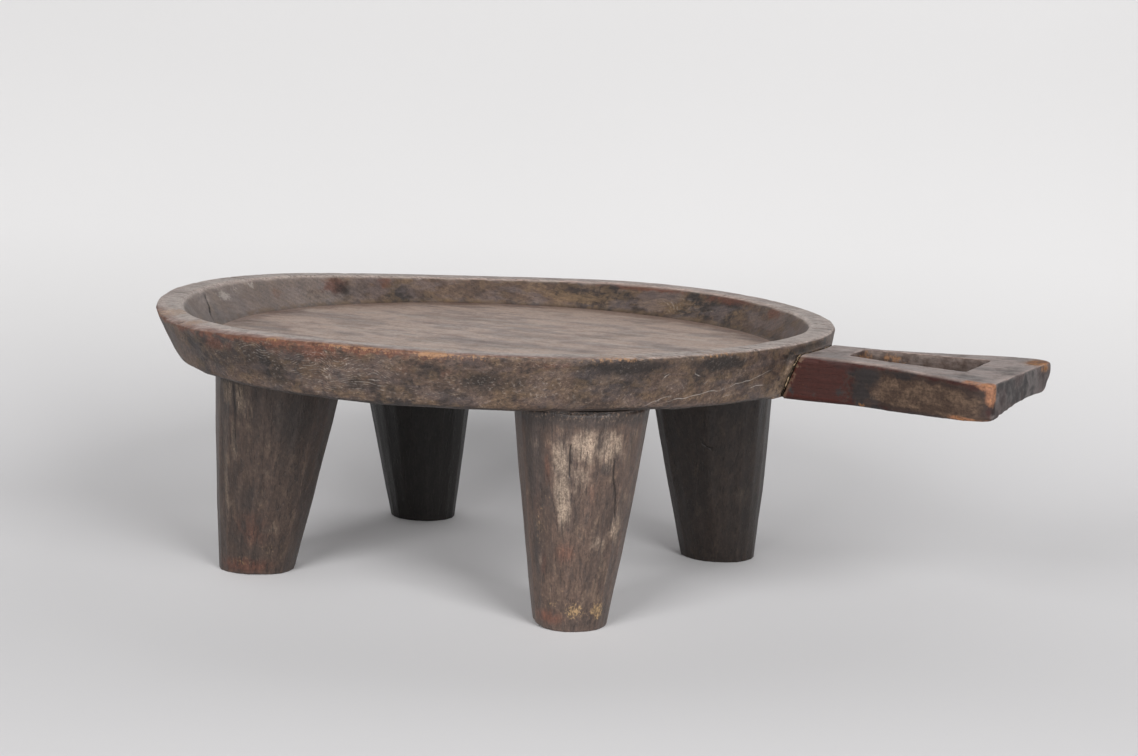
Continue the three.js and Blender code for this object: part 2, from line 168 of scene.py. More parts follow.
class JoineryDetails(bpy.types.PropertyGroup):
    """Sizes of the joints cut in the dish, in millimetres, and the colours of pegs and filler."""

    clearance: depth("Clearance", "Gap round each fitted piece, in mm", 0.3)
    tenon_radius: depth("Tenon radius", "Of each leg's tenon, in mm", 17, 40)
    tenon_length: depth("Tenon length", "How far each tenon enters the dish, in mm", 9, 12)
    peg_wood: colour("Peg wood", "Raw split hardwood", 122, 92, 62)
    filler: colour("Filler", "Crumbly bed in the handle's seam", 152, 131, 106)


def length(name, description, default):
    return FloatProperty(name=name, description=description, default=default, unit="LENGTH")


def power(name, description, default):
    return FloatProperty(name=name, description=description, default=default, unit="POWER")


def spot(name, description, default):
    return FloatVectorProperty(
        name=name, description=description, default=default, subtype="TRANSLATION", unit="LENGTH"
    )


class StageSettings(bpy.types.PropertyGroup):
    """The camera, the lamps and the floor."""

    camera_place: spot("Camera place", "Where the camera stands", (0.6354, -1.3711, 0.3651))
    camera_aim: spot(
        "Camera aim", "The point in the middle of the view", (-0.01702, 0.01382, 0.12237)
    )
    camera_roll: FloatProperty(
        name="Camera roll", description="How far the camera is tipped over",
        subtype="ANGLE", unit="ROTATION", default=math.radians(2.09),
    )
    lens: FloatProperty(
        name="Lens", description="Focal length in mm for a sensor 36 mm wide",
        subtype="DISTANCE_CAMERA", default=78.65, min=10,
    )
    left_power: power("Left lamp", "Soft lamp at the left", 51.5)
    right_power: power("Right lamp", "Soft lamp at the right", 53.5)
    lamp_width: length("Lamp width", "Width of each lamp", 1.1)
    lamp_height: length("Lamp height", "Height of each lamp", 1.8)
    sky: FloatProperty(
        name="Room light", description="Light from all round", default=0.235, min=0
    )
    paper: colour("Paper", "The floor of the seamless paper", 211, 210, 211)
    wall: colour("Wall", "The upright part of the seamless paper", 214, 213, 213)


# Noise and tool cuts, the same on every run


# Large odd factors for the three axes, the seed and the last mix, and a mask of 32 bits
SCATTER = (374761393, 668265263, 1440662683, 974634777, 1274126177)
MASK = 0xFFFFFFFF


def lattice(cells, seed):
    """A fixed number from 0 to 1 for each whole-number cell."""
    x, y, z = (cells[:, k].astype(np.int64) for k in range(3))
    mixed = (x * SCATTER[0] + y * SCATTER[1] + z * SCATTER[2] + seed * SCATTER[3]) & MASK
    mixed = ((mixed ^ (mixed >> 13)) * SCATTER[4]) & MASK
    return (mixed ^ (mixed >> 16)) / MASK


def lumps(places, size, seed):
    """Smooth noise from -1 to 1 with lumps of this size in mm, which may differ by axis."""
    scaled = places / np.asarray(size, float)
    cell = np.floor(scaled)
    part = scaled - cell
    part = part * part * (3 - 2 * part)
    total = np.zeros(len(places))
    for corner in itertools.product((0, 1), repeat=3):
        weight = np.ones(len(places))
        for k in range(3):
            weight *= part[:, k] if corner[k] else 1 - part[:, k]
        total += weight * lattice(cell + corner, seed)
    return 2 * total - 1


def layers(places, size, seed, count=3):
    """Lumps with finer lumps on them."""
    size = np.asarray(size, float)
    total = sum(lumps(places, size / 2**k, seed + k) / 2**k for k in range(count))
    return total / (2 - 2 ** (1 - count))


def cuts(places, size, seed):
    """Overlapping hollow tool cuts of this size in mm: 0 in the middle of a cut, 1 on a ridge."""
    scaled = places / np.asarray(size, float)
    cell = np.floor(scaled)
    nearest = np.full(len(places), 9.0)
    for near in itertools.product((-1, 0, 1), repeat=3):
        here = cell + near
        gap = sum((here[:, k] + lattice(here, seed + k) - scaled[:, k]) ** 2 for k in range(3))
        nearest = np.minimum(nearest, gap)
    return np.clip(nearest, 0, 1)


def even_cuts(places, size, seed):
    """Tool cuts that sink about as much as their ridges rise, so that a piece keeps its size."""
    return cuts(places, size, seed) - 0.4


def ease(value, low, high):
    """0 below low, 1 above high, and a smooth step between; low may be the greater."""
    share = np.clip((value - low) / (high - low), 0, 1)
    return share * share * (3 - 2 * share)


def close(gap, reach):
    """1 where a distance is 0, falling smoothly to 0 about two reaches away."""
    return np.exp(-((gap / reach) ** 2))


def blob(places, middle, size):
    """1 at a place, falling smoothly to 0 about a size away from it, which may differ by axis."""
    gap = (places - np.asarray(middle, float)) / np.asarray(size, float)
    return np.exp(-2 * (gap**2).sum(axis=1))


def blobs(places, spots):
    """The strongest of several blobs: a spot is (middle, size) or (middle, size, share)."""
    total = np.zeros(len(places))
    for middle, size, *share in spots:
        total = np.maximum(total, blob(places, middle, size) * (share[0] if share else 1))
    return total


def spot_fields(places, spots):
    """A field for each named list of spots."""
    return {name: blobs(places, listed) for name, listed in spots.items()}


def line_fields(places, lines, reach=3.0, wander=1.2, seed=60):
    """How far in mm each place is from the nearest of some wandering lines, and how near it is.

    A line is a list of places. The distance changes sign across the line, so that a shader can
    draw it thinner than the mesh's own spacing. The nearness falls from 1 to 0 about a reach
    away, and tapers towards both ends.
    """
    lift = 40.0  # how steeply the surface is taken to face up, beside its distance out
    waves = [layers(places, 9, seed + k) for k in range(3)]
    shifted = places + wander * np.stack(waves, axis=1)
    best = np.full(len(places), 1e9)
    side = np.full(len(places), 1e3)
    taper = np.zeros(len(places))
    for line in lines:
        points = np.asarray(line, float)
        lengths = np.linalg.norm(np.diff(points, axis=0), axis=1)
        walked = np.concatenate([[0], np.cumsum(lengths)])
        for k, (start, end) in enumerate(zip(points, points[1:])):
            run = (end - start) / lengths[k]
            along = np.clip((shifted - start) @ run, 0, lengths[k])
            gap = shifted - (start + along[:, None] * run)
            away = np.linalg.norm(gap, axis=1)
            across = np.cross(run, (start[0], start[1], lift))
            across /= np.linalg.norm(across)
            share = (walked[k] + along) / walked[-1]
            thin = np.minimum(1, 5 * np.minimum(share, 1 - share) + 0.15)
            closer = away < best
            best = np.where(closer, away, best)
            side = np.where(closer, gap @ across, side)
            taper = np.where(closer, thin, taper)
    return side, close(best, reach) * taper


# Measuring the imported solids


def solid_tree(node):
    mesh = frame["nodes"][node].data
    return BVHTree.FromPolygons([v.co for v in mesh.vertices], [p.vertices for p in mesh.polygons])


def solid_points(node):
    return np.array([v.co for v in frame["nodes"][node].data.vertices])


def cast(tree, start, direction):
    """Where a ray meets a solid.

    One that slips between two facets is sent again a hair to the side.
    """
    for nudge in (0, 0.004, -0.004):
        beside = Vector((-nudge, 1.3 * nudge, 0.7 * nudge)) * MM
        hit = tree.ray_cast(Vector(start) + beside, Vector(direction))[0]
        if hit is not None:
            return hit - beside
    raise RuntimeError(f"a measuring ray from {tuple(start)} missed its packed solid")


def side_radii(tree, middles, bearings, heights, outside, reach=0.4):
    """Distances in metres from a middle line to a solid's side, level by level.

    The rays run inwards from this reach outside, or outwards from the middle line.
    """
    found = np.zeros(heights.shape)
    for row, column in np.ndindex(heights.shape):
        middle = middles[row]
        spoke = Vector((math.cos(bearings[column]), math.sin(bearings[column]), 0))
        start = Vector((middle[0], middle[1], heights[row, column]))
        if outside:
            hit = cast(tree, start + reach * spoke, -spoke)
        else:
            hit = cast(tree, start, spoke)
        found[row, column] = (hit - start).length
    return found


def face_heights(tree, middle, bearings, radii, down):
    """Heights in metres of a solid's upper or lower face at these distances from a middle line."""
    found = np.zeros(radii.shape)
    above, below = 0.4, -0.1  # both clear of the tray
    for row, column in np.ndindex(radii.shape):
        x = middle[0] + radii[row, column] * math.cos(bearings[column])
        y = middle[1] + radii[row, column] * math.sin(bearings[column])
        start = (x, y, above if down else below)
        found[row, column] = cast(tree, start, (0, 0, -1 if down else 1)).z
    return found


def crowded(count, ends=0.8):
    """Shares from 0 to 1, closer together towards both ends."""
    even = np.linspace(0, 1, count)
    return even + (0.5 * (1 - np.cos(np.pi * even)) - even) * ends


# Building meshes


def grid_faces(rows, columns, joined):
    """Quads between the points of a grid, whose last column may be joined to its first."""
    for row, k in np.ndindex(rows - 1, columns if joined else columns - 1):
        first, after = row * columns + k, row * columns + (k + 1) % columns
        yield first, after, after + columns, first + columns


def ring_mesh(name, rings, bottom, top):
    """A closed mesh from rings of points, with a pole point under the first and over the last."""
    rows, count = rings.shape[:2]
    faces = list(grid_faces(rows, count, True))
    under, over, last = rows * count, rows * count + 1, (rows - 1) * count
    for k in range(count):
        after = (k + 1) % count
        faces += [(under, after, k), (over, last + k, last + after)]
    return mesh_piece(name, np.concatenate([rings.reshape(-1, 3), [bottom, top]]), faces)


def mesh_piece(name, points, faces):
    mesh = bpy.data.meshes.new(name)
    mesh.from_pydata([tuple(p) for p in points], [], faces)
    mesh.update()
    return show(name, mesh)


def show(name, data):
    piece = bpy.data.objects.new(name, data)
    bpy.context.scene.collection.objects.link(piece)
    return piece


def read(mesh, what="co"):
    """The mesh's points in mm from the dish's axis, or its normals."""
    values = np.zeros(3 * len(mesh.vertices), np.float32)
    if what == "co":
        mesh.vertices.foreach_get("co", values)
        return (values.reshape(-1, 3) - np.array(AXIS)) / MM
    mesh.vertex_normals.foreach_get("vector", values)
    return values.reshape(-1, 3).astype(float)


def write(mesh, places):
    values = (places * MM + np.array(AXIS)).astype(np.float32)
    mesh.vertices.foreach_set("co", values.ravel())
    mesh.update()


def store(mesh, fields):
    """Keeps each named field on the mesh's points, for its material to read."""
    for name, values in fields.items():
        attribute = mesh.attributes.new(name, "FLOAT", "POINT")
        attribute.data.foreach_set("value", np.asarray(values, np.float32))


def smooth_shade(mesh):
    mesh.polygons.foreach_set("use_smooth", np.ones(len(mesh.polygons), bool))


def relax(mesh, rounds, amount=0.5):
    """Moves each point towards the mean of its neighbours."""
    edges = np.zeros(2 * len(mesh.edges), np.int32)
    mesh.edges.foreach_get("vertices", edges)
    ends = edges.reshape(-1, 2)
    counts = np.bincount(ends.ravel(), minlength=len(mesh.vertices))[:, None]
    places = read(mesh)
    for _ in range(rounds):
        total = np.zeros_like(places)
        for axis in range(3):
            total[:, axis] += np.bincount(ends[:, 0], places[ends[:, 1], axis], len(places))
            total[:, axis] += np.bincount(ends[:, 1], places[ends[:, 0], axis], len(places))
        places += amount * (total / counts - places)
    write(mesh, places)


def crests(mesh, rounds=12):
    """How far in mm each point stands above a smoothed mesh: edges high, hollows low."""
    copy = mesh.copy()
    before, normals = read(mesh), read(mesh, "normal")
    relax(copy, rounds)
    after = read(copy)
    bpy.data.meshes.remove(copy)
    return ((before - after) * normals).sum(axis=1)


def remeshed(node, name, voxel_mm):
    """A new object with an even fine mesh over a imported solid."""
    piece = show(name, frame["nodes"][node].data.copy())
    weld = piece.modifiers.new("weld", "WELD")
    weld.merge_threshold = 0.01 * MM
    even = piece.modifiers.new("even", "REMESH")
    even.mode = "VOXEL"
    even.voxel_size = voxel_mm * MM
    settle(piece)
    return piece


def settle(piece):
    """Applies an object's modifiers."""
    graph = bpy.context.evaluated_depsgraph_get()
    graph.update()
    mesh = bpy.data.meshes.new_from_object(piece.evaluated_get(graph))
    old = piece.data
    piece.modifiers.clear()
    piece.data = mesh
    bpy.data.meshes.remove(old)


def bar(form, radius, low, high, x, y):
    """Adds a round bar to a bmesh, in metres."""
    place = Matrix.Translation((x, y, (low + high) / 2))
    bmesh.ops.create_cone(
        form, cap_ends=True, segments=64, radius1=radius, radius2=radius, depth=high - low,
        matrix=place,
    )


def block(form, low, high):
    """Adds a box to a bmesh, given two corners in metres."""
    low, high = Vector(low), Vector(high)
    size = Matrix.Diagonal((*(high - low), 1))
    bmesh.ops.create_cube(form, size=1, matrix=Matrix.Translation((low + high) / 2) @ size)


def cut_away(piece, shapes):
    """Cuts closed shapes, each given as bar or block and its values, out of a piece."""
    for fill, *values in shapes:
        form = bmesh.new()
        fill(form, *values)
        mesh = bpy.data.meshes.new("cutter")
        form.to_mesh(mesh)
        form.free()
        cutter = show("cutter", mesh)
        cut = piece.modifiers.new("cut", "BOOLEAN")
        cut.operation = "DIFFERENCE"
        cut.solver = "MANIFOLD"
        cut.object = cutter
        settle(piece)
        bpy.data.objects.remove(cutter)
        bpy.data.meshes.remove(mesh)


def finish_piece(piece, material, slot, *nodes):
    """Gives a piece its material, hangs it from the root and hides the parts it stands for."""
    piece.data.materials.clear()
    piece.data.materials.append(material)
    smooth_shade(piece.data)
    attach(piece, "root")
    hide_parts(*nodes)


# Building materials


class Finish:
    """Builds one material's nodes with short calls. Sizes are in millimetres.

    finish[name] is a field that the mesh keeps on its points.
    """

    def __init__(self, name):
        self.material = bpy.data.materials.new(name)
        self.material.use_nodes = True
        self.tree = self.material.node_tree
        self.shader = self.tree.nodes["Principled BSDF"]
        self.fields = {}
        values = {0: self.node("TexCoord").outputs["Object"], "Scale": 1 / MM}
        self.places = self.node("VectorMath", values, operation="SCALE").outputs[0]

    def __getitem__(self, name):
        if name not in self.fields:
            self.fields[name] = self.node("Attribute", attribute_name=name).outputs["Fac"]
        return self.fields[name]

    def node(self, kind, values=None, **settings):
        """A node with these settings, and these values fed to its inputs."""
        made = self.tree.nodes.new("ShaderNode" + kind)
        for key, value in settings.items():
            setattr(made, key, value)
        self.feed(made, values or {})
        return made

    def feed(self, node, values):
        """Feeds inputs, named or numbered, with other nodes' outputs, numbers or colours."""
        for key, value in values.items():
            socket = node.inputs[key]
            if isinstance(value, bpy.types.NodeSocket):
                self.tree.links.new(value, socket)
            elif isinstance(value, (int, float)):
                socket.default_value = value
            elif len(socket.default_value) == 4:
                socket.default_value = (*value[:3], 1)
            else:
                socket.default_value = value

    def sum(self, kind, *values):
        """A sum of this kind on numbers, as a Math node names it."""
        return self.node("Math", dict(enumerate(values)), operation=kind).outputs[0]

    def times(self, first, second):
        return self.sum("MULTIPLY", first, second)

    def linear(self, value, slope, start):
        """A value times a slope, plus a start."""
        return self.sum("MULTIPLY_ADD", value, slope, start)

    def vector(self, kind, *values):
        made = self.node("VectorMath", dict(enumerate(values)), operation=kind)
        return made.outputs["Value" if kind in ("LENGTH", "DOT_PRODUCT") else "Vector"]

    def noise(self, size, detail=3.0, roughness=0.55, shift=0.0):
        """Noise from 0 to 1 with lumps of this size, a number or one for each axis."""
        size = (size,) * 3 if isinstance(size, (int, float)) else size
        scaled = self.vector("DIVIDE", self.places, size)
        if shift:
            scaled = self.vector("ADD", scaled, (shift, shift * 0.7, -shift))
        values = {"Vector": scaled, "Scale": 1.0, "Detail": detail, "Roughness": roughness}
        return self.node("TexNoise", values).outputs[0]

    def patterns(self, patchy, mottle, speck, shift=0.0):
        """Three noises of these sizes, from patches to specks."""
        return (
            self.noise(patchy, detail=5.0, roughness=0.66, shift=shift + 2),
            self.noise(mottle, detail=5.0, roughness=0.72, shift=shift + 4),
            self.noise(speck, roughness=0.7, shift=shift + 5),
        )

    def span(self, *values):
        """A smooth step of a value between two bounds, from 0 to 1 or between two others."""
        values = dict(enumerate(values))
        return self.node("MapRange", values, interpolation_type="SMOOTHSTEP").outputs[0]

    def patch(self, field, noise, low=0.3, high=0.8, ragged=1.8):
        """Patches where a field is high, their edges broken up by noise."""
        broken = self.linear(noise, ragged, -ragged / 2)
        return self.span(self.sum("ADD", field, broken), low, high)

    def blend(self, amount, first, second, **settings):
        """A Mix node on colours, which are its inputs 6 and 7 and its output 2."""
        values = {0: amount, 6: first, 7: second}
        return self.node("Mix", values, data_type="RGBA", **settings).outputs[2]

    def mix(self, first, second, amount, share=1.0):
        """Blends towards the second colour by an amount from 0 to 1, times a share."""
        return self.blend(amount if share == 1 else self.times(amount, share), first, second)

    def coats(self, coat, *layers):
        """Blends towards one colour after another, each given as (colour, amount, share)."""
        for layer in layers:
            coat = self.mix(coat, *layer)
        return coat

    def shade(self, colour, factor):
        """Multiplies a colour by a number."""
        grey = self.node("CombineColor", dict.fromkeys(range(3), factor)).outputs[0]
        return self.blend(1.0, colour, grey, blend_type="MULTIPLY")

    def shades(self, colour, *spans):
        """Multiplies a colour by one smooth step after another."""
        for given in spans:
            colour = self.shade(colour, self.span(*given))
        return colour

    def relief(self, first, *others):
        """A sum of heights, each given as (height, share)."""
        total = self.times(*first)
        for height, share in others:
            total = self.linear(height, share, total)
        return total

    def bump(self, height, distance_mm, strength):
        values = {"Height": height, "Distance": distance_mm * MM, "Strength": strength}
        return self.node("Bump", values).outputs["Normal"]

    def done(self, colour, roughness, specular, **more):
        values = {"Base Color": colour, "Roughness": roughness, "Specular IOR Level": specular}
        self.feed(self.shader, {**values, **more})
        return self.material


def grain(finish, along, pith, spacing, wander=5.0):
    """Fields from 0 to 1 for wood whose fibres run along an axis: growth rings, fibres and pores.

    pith is a point, in mm from the world's middle, on the middle line of the log.
    """

    def size(across, length):
        sizes = [across] * 3
        sizes[along] = length
        return sizes

    offset = finish.vector("SUBTRACT", finish.places, pith)
    away = finish.vector("LENGTH", finish.vector("MULTIPLY", offset, size(1.0, 0.0)))
    bend = finish.noise(size(45.0, 160.0), detail=2.0, shift=3.1)
    waver = finish.noise(size(9.0, 70.0), detail=2.0, shift=7.7)
    away = finish.sum("ADD", away, finish.times(bend, wander * spacing))
    away = finish.sum("ADD", away, finish.times(waver, spacing))
    rings = finish.sum("SINE", finish.times(away, 2 * math.pi / spacing))
    fibres = finish.noise(size(0.8, 34.0), roughness=0.6, shift=1.7)
    pores = finish.noise(size(0.55, 6.0), detail=1.0, shift=9.3)
    return finish.span(rings, -1.0, 1.0), fibres, finish.span(pores, 0.62, 0.72)


# The dish

# Lines are lists of places. Spots are a middle and a size in mm, and a share where it isn't 1.
DISH_CRACKS = [
    [(-197, -38, 163), (-186, -46, 156), (-174, -54, 149), (-166, -58, 143.5)],
    [(-215, 22, 163), (-206, 23, 164), (-199, 23, 163)],
    [(-214, 52, 163), (-205, 53, 164)],
    [(-211, -72, 163), (-202, -71, 163.5)],
    [(-196, -95, 163), (-187, -94, 163)],
    [(203, 62, 163), (188, 60, 163)],
    [(196, 84, 163), (181, 82, 163)],
    [(211, -38, 163), (196, -37, 163)],
    [(204, -62, 163), (187, -61, 164)],
]
COBWEBS = [
    [
        (163, -118, 137), (176, -102, 139.5), (186, -84, 142), (193, -70, 145),
        (200, -54, 148), (206, -40, 153),
    ],
    [(186, -84, 142), (189, -76, 148), (193, -70, 152)],
    [(158, -126, 134), (162, -120, 137), (168, -113, 141)],
    [(194, -62, 141), (201, -50, 141.5)],
    [(176, -104, 158), (178, -104, 153), (180, -100, 151)],
    [(168, -122, 151), (169, -120, 153)],
    [(183, -96, 146.5), (184, -94, 149)],
    [(186, -80, 137), (189, -76, 138.5)],
]
DISH_NICKS = [
    ((-124, -163, 162), (3.2, 3.2, 6)), ((-90, -186, 163), (2.2, 2.2, 3)),
    ((-163, -127, 161), (4, 4, 4), 0.7), ((158, -133, 164), (5, 5, 3), 0.5),
]
DISH_SPOTS = {
    "rust": [
        ((-20, -206, 159), (60, 14, 8), 0.8), ((-80, -190, 156), (40, 20, 9), 0.75),
        ((66, -197, 154), (40, 16, 9), 0.6), ((120, -170, 160), (40, 30, 4), 0.5),
        ((-167, 85, 155), (14, 22, 10), 0.95), ((-149, 117, 156), (12, 18, 10), 0.8),
        ((-186, 40, 155), (10, 16, 8), 0.4), ((-100, 160, 158), (30, 20, 7), 0.5),
        ((20, 188, 161), (70, 14, 5)), ((90, 168, 160), (50, 24, 6)),
        ((134, 138, 158), (20, 24, 8), 0.8), ((194, -38, 146), (8, 9, 24), 0.9),
        ((206, 30, 150), (9, 7, 22), 0.8),
    ],
    "straw": [
        ((-40, 182, 150), (90, 14, 9), 0.9), ((40, 178, 151), (60, 16, 10)),
        ((100, 158, 152), (40, 20, 10), 0.6), ((-176, 62, 148), (14, 40, 7), 0.7),
        ((-183, -8, 148), (10, 24, 6), 0.5), ((-190, -90, 146), (40, 50, 9), 0.5),
        ((112, -176, 144), (60, 34, 11), 0.7), ((10, -202, 139), (60, 20, 6), 0.5),
        ((160, -118, 142), (34, 40, 9), 0.6), ((197, -34, 134), (7, 7, 8), 1.2),
        ((200.5, -34, 141), (5, 7, 8), 1.2), ((204, -32, 149), (5, 7, 8), 1.2),
    ],
    "straw_edge": [
        ((64, -197, 165), (17, 14, 5)), ((-34, -203, 165), (11, 12, 4), 0.8),
        ((-113, -164, 162), (20, 14, 4), 0.8), ((-150, -135, 162), (26, 24, 4), 0.85),
        ((20, -206, 165), (60, 14, 4), 0.6), ((84, -192, 164), (40, 14, 4), 0.5),
        ((150, -143, 164), (34, 34, 4), 0.62), ((186, -92, 164), (20, 34, 4), 0.55),
        ((207, -24, 158), (8, 24, 4), 0.45),
    ],
    "pale": [
        ((-191, -16, 156), (12, 12, 8)), ((-193, 2, 158), (12, 8, 5), 0.8),
        ((-191, 20, 160), (12, 10, 5), 0.8),
    ],
    "silver": [
        ((6, -203, 149), (62, 20, 20)), ((-46, -198, 156), (40, 20, 12), 0.85),
        ((66, -194, 144), (34, 20, 14), 0.6), ((-70, -186, 148), (30, 20, 12), 0.6),
        ((60, 178, 151), (70, 20, 10), 0.7), ((120, -172, 160), (24, 20, 4), 0.5),
    ],
    "grime_and_dark_underside": [
        ((158, -140, 159), (50, 40, 8)), ((190, -90, 158), (26, 40, 7), 0.9),
        ((200, -44, 154), (9, 14, 8), 0.7), ((60, -194, 156), (22, 20, 6), 0.7),
        ((-30, -200, 141), (40, 20, 6), 0.5), ((-130, -146, 152), (40, 26, 8), 0.5),
        ((-158, 100, 152), (8, 12, 12), 0.6), ((-188, -40, 152), (12, 10, 14), 0.6),
        ((-50, -198, 148), (80, 30, 22), 0.5), ((90, -186, 150), (50, 40, 14), 0.52),
        ((24, -204, 143), (40, 30, 9), 0.55), ((-160, 96, 152), (34, 50, 12), 0.62),
        ((193, -46, 148), (6, 12, 18), 0.9), ((207, -20, 157.5), (10, 30, 5), 0.85),
    ],
}


class DishForm:
    """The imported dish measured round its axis: rings of points, and the places of its edges."""

    def __init__(self):
        tree = solid_tree("dish")
        self.bearings = np.arange(SECTORS) * 2 * math.pi / SECTORS
        self.from_handle = np.abs(np.angle(np.exp(1j * self.bearings)))
        above_seat = np.full((1, SECTORS), (HANDLE_TOP + 0.6) * MM)
        outer = side_radii(tree, [AXIS], self.bearings, above_seat, True)[0]
        inner = side_radii(tree, [AXIS], self.bearings, above_seat, False)[0]
        self.top = self.upper_face(tree, (outer + inner)[None, :] / 2)[0]
        self.wall = self.outer_wall(tree)
        self.inner = self.inner_wall(tree)
        self.rings = np.concatenate([self.underside(), *self.upper_rings(tree)])

    def seat(self, degrees):
        """1 at the handle's seat, which ends this far round to each side, and 0 elsewhere."""
        return ease(self.from_handle, math.radians(degrees), math.radians(12))

    def unfaceted(self, values):
        """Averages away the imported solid's flat facets, except at the handle's seat."""
        half = SECTORS // FACETS // 2
        even = sum(np.roll(values, k, axis=-1) for k in range(1 - half, half))
        even = even + (np.roll(values, half, axis=-1) + np.roll(values, -half, axis=-1)) / 2
        seat = self.seat(16)
        return values * seat + even / (2 * half) * (1 - seat)

    def upper_face(self, tree, radii):
        return self.unfaceted(face_heights(tree, AXIS, self.bearings, radii, True))

    def outer_wall(self, tree):
        """(radii, heights) of rings up the outer wall, with the mortise's mouth closed."""
        low = UNDERSIDE + 0.12
        heights = low + crowded(27)[:, None] * (self.top / MM - 0.15 - low)

        # Two rings keep to the ledge over the handle's seat
        ledge = int(np.argmin(np.abs(heights.mean(axis=1) - HANDLE_TOP)))
        near = self.seat(15)
        for row, height in ((ledge, HANDLE_TOP - 0.1), (ledge + 1, HANDLE_TOP + 0.2)):
            heights[row] = heights[row] * (1 - near) + height * near
        heights = np.sort(heights, axis=0) * MM
        radii = side_radii(tree, [AXIS] * len(heights), self.bearings, heights, True)

        # Where rays went into the mortise, the rings above and below give the radius
        deepest_seat = 195 * MM
        mouth = (radii < deepest_seat) & (np.cos(self.bearings) > 0.9)
        for column in np.flatnonzero(mouth.any(axis=0)):
            sound = ~mouth[:, column]
            level = heights[:, column]
            radii[:, column] = np.interp(level, level[sound], radii[sound, column])
        return self.unfaceted(radii), heights

    def inner_wall(self, tree):
        high, low = self.top / MM - 0.15, FLOOR_LEVEL + 0.5
        heights = (high + crowded(17, 0.6)[:, None] * (low - high)) * MM
        radii = side_radii(tree, [AXIS] * len(heights), self.bearings, heights, False)
        return self.unfaceted(radii), heights

    def underside(self):
        edge = self.wall[0][0] - 0.4 * MM
        shares = np.linspace(0.05, 1, 17)
        return self.points(shares[:, None] * edge, UNDERSIDE * MM)

    def upper_rings(self, tree):
        """Rings up the outer wall, over the rim, down the inner wall and over the floor."""
        outer, inner = self.wall[0][-1], self.inner[0][0]
        rim = outer + crowded(15, 0.7)[1:-1, None] * (inner - outer)
        groove = self.inner[0][-1] - np.array([0.7, 1.4, 2.1, 2.9, 3.8, 5.0])[:, None] * MM
        floor = np.concatenate([groove, np.linspace(1, 0.03, 40)[1:, None] * groove[-1]])
        yield self.points(*self.wall)
        yield self.points(rim, self.upper_face(tree, rim))
        yield self.points(*self.inner)
        yield self.points(floor, self.upper_face(tree, floor))

    def points(self, radii, heights):
        x = AXIS.x + radii * np.cos(self.bearings)
        y = AXIS.y + radii * np.sin(self.bearings)
        return np.stack([x, y, np.broadcast_to(heights, radii.shape)], axis=-1)

    def edge_gaps(self, places):
        """Distances in mm from the rim's outer and inner edges and the floor's edge."""
        bearing = np.arctan2(places[:, 1], places[:, 0])
        radius = np.hypot(places[:, 0], places[:, 1])

        def at(values):
            return np.interp(bearing, self.bearings, values / MM, period=2 * math.pi)

        def gap(edge, height):
            return np.hypot(radius - at(edge), places[:, 2] - height)

        top = at(self.top)
        rim_outer, rim_inner, floor = self.wall[0][-4], self.inner[0][3], self.inner[0][-1]
        return gap(rim_outer, top), gap(rim_inner, top), gap(floor, FLOOR_LEVEL)


def bearing_window(places, start, end, soft=8.0):
    """1 between two bearings in degrees, from start round to end, with soft ends."""
    bearing = np.degrees(np.arctan2(places[:, 1], places[:, 0]))
    middle, half = (start + end) / 2, (end - start) / 2
    away = np.abs((bearing - middle + 180) % 360 - 180)
    return ease(away, half + soft, half)


def seam_gap(places):
    """Distances in mm out from the dish's axis, as if the handle's leaning seam were upright."""
    return places[:, 0] - SEAM_LEAN * (places[:, 2] - UNDERSIDE)


def dish_zones(places, normals):
    """Shares from 0 to 1 for the outer wall, inner wall, rim, floor and underside."""
    radius = np.hypot(places[:, 0], places[:, 1])
    outward = normals[:, 0] * places[:, 0] + normals[:, 1] * places[:, 1]
    outward /= np.maximum(radius, 1)
    high = ease(places[:, 2], FLOOR_LEVEL + 9, FLOOR_LEVEL + 13)
    return (
        ease(outward, 0.35, 0.75),
        ease(-outward, 0.2, 0.5) * (radius > 150),
        ease(normals[:, 2], 0.66, 0.8) * high,
        ease(normals[:, 2], 0.7, 0.92) * (1 - high),
        ease(-normals[:, 2], 0.6, 0.9),
    )


def carve_dish(form, mesh, settings):
    """Works the dish's mesh with tool cuts, bites and cracks."""
    places, normals = read(mesh), read(mesh, "normal")
    outer, inner, _, floor, under = dish_zones(places, normals)
    edge_out, edge_in, edge_floor = form.edge_gaps(places)
    broad = 0.7 * lumps(places, 70, 1) + 0.3 * layers(places, 24, 2)
    rise = settings.unevenness * broad * (1 - under)
    rise += outer * settings.outer_cuts * even_cuts(places, (17, 17, 42), 11)
    rise += outer * 0.12 * layers(places, (14, 4, 4), 5)
    rise += inner * settings.inner_cuts * even_cuts(places, (14, 14, 60), 15)
    rise += floor * settings.floor_cuts * even_cuts(places, (64, 16, 300), 19)
    rise -= under * settings.underside_cuts * (1 - cuts(places, (36, 20, 300), 23))
    worn_run = 0.35 + 0.65 * bearing_window(places, -140, -40, 15)
    bites = ease(layers(places, (8, 8, 5), 27), 0.05, 0.7)
    rise -= settings.edge_bites * bites * close(edge_out, 2.6) * worn_run
    rise -= 0.5 * ease(layers(places, (7, 7, 5), 31), 0.1, 0.7) * close(edge_in, 2.2)
    rise -= 1.6 * blobs(places, DISH_NICKS)
    ragged = 0.5 + 0.5 * layers(places, (8, 8, 4), 35)
    back = bearing_window(places, 79, 112, 5)
    rise -= (0.5 + 1.5 * back) * ragged * close(edge_floor, 2.4)
    side, near = line_fields(places, DISH_CRACKS)
    rise -= settings.crack_depth * close(side, 0.45) * near * (1 - outer)
    write(mesh, places + normals * rise[:, None])


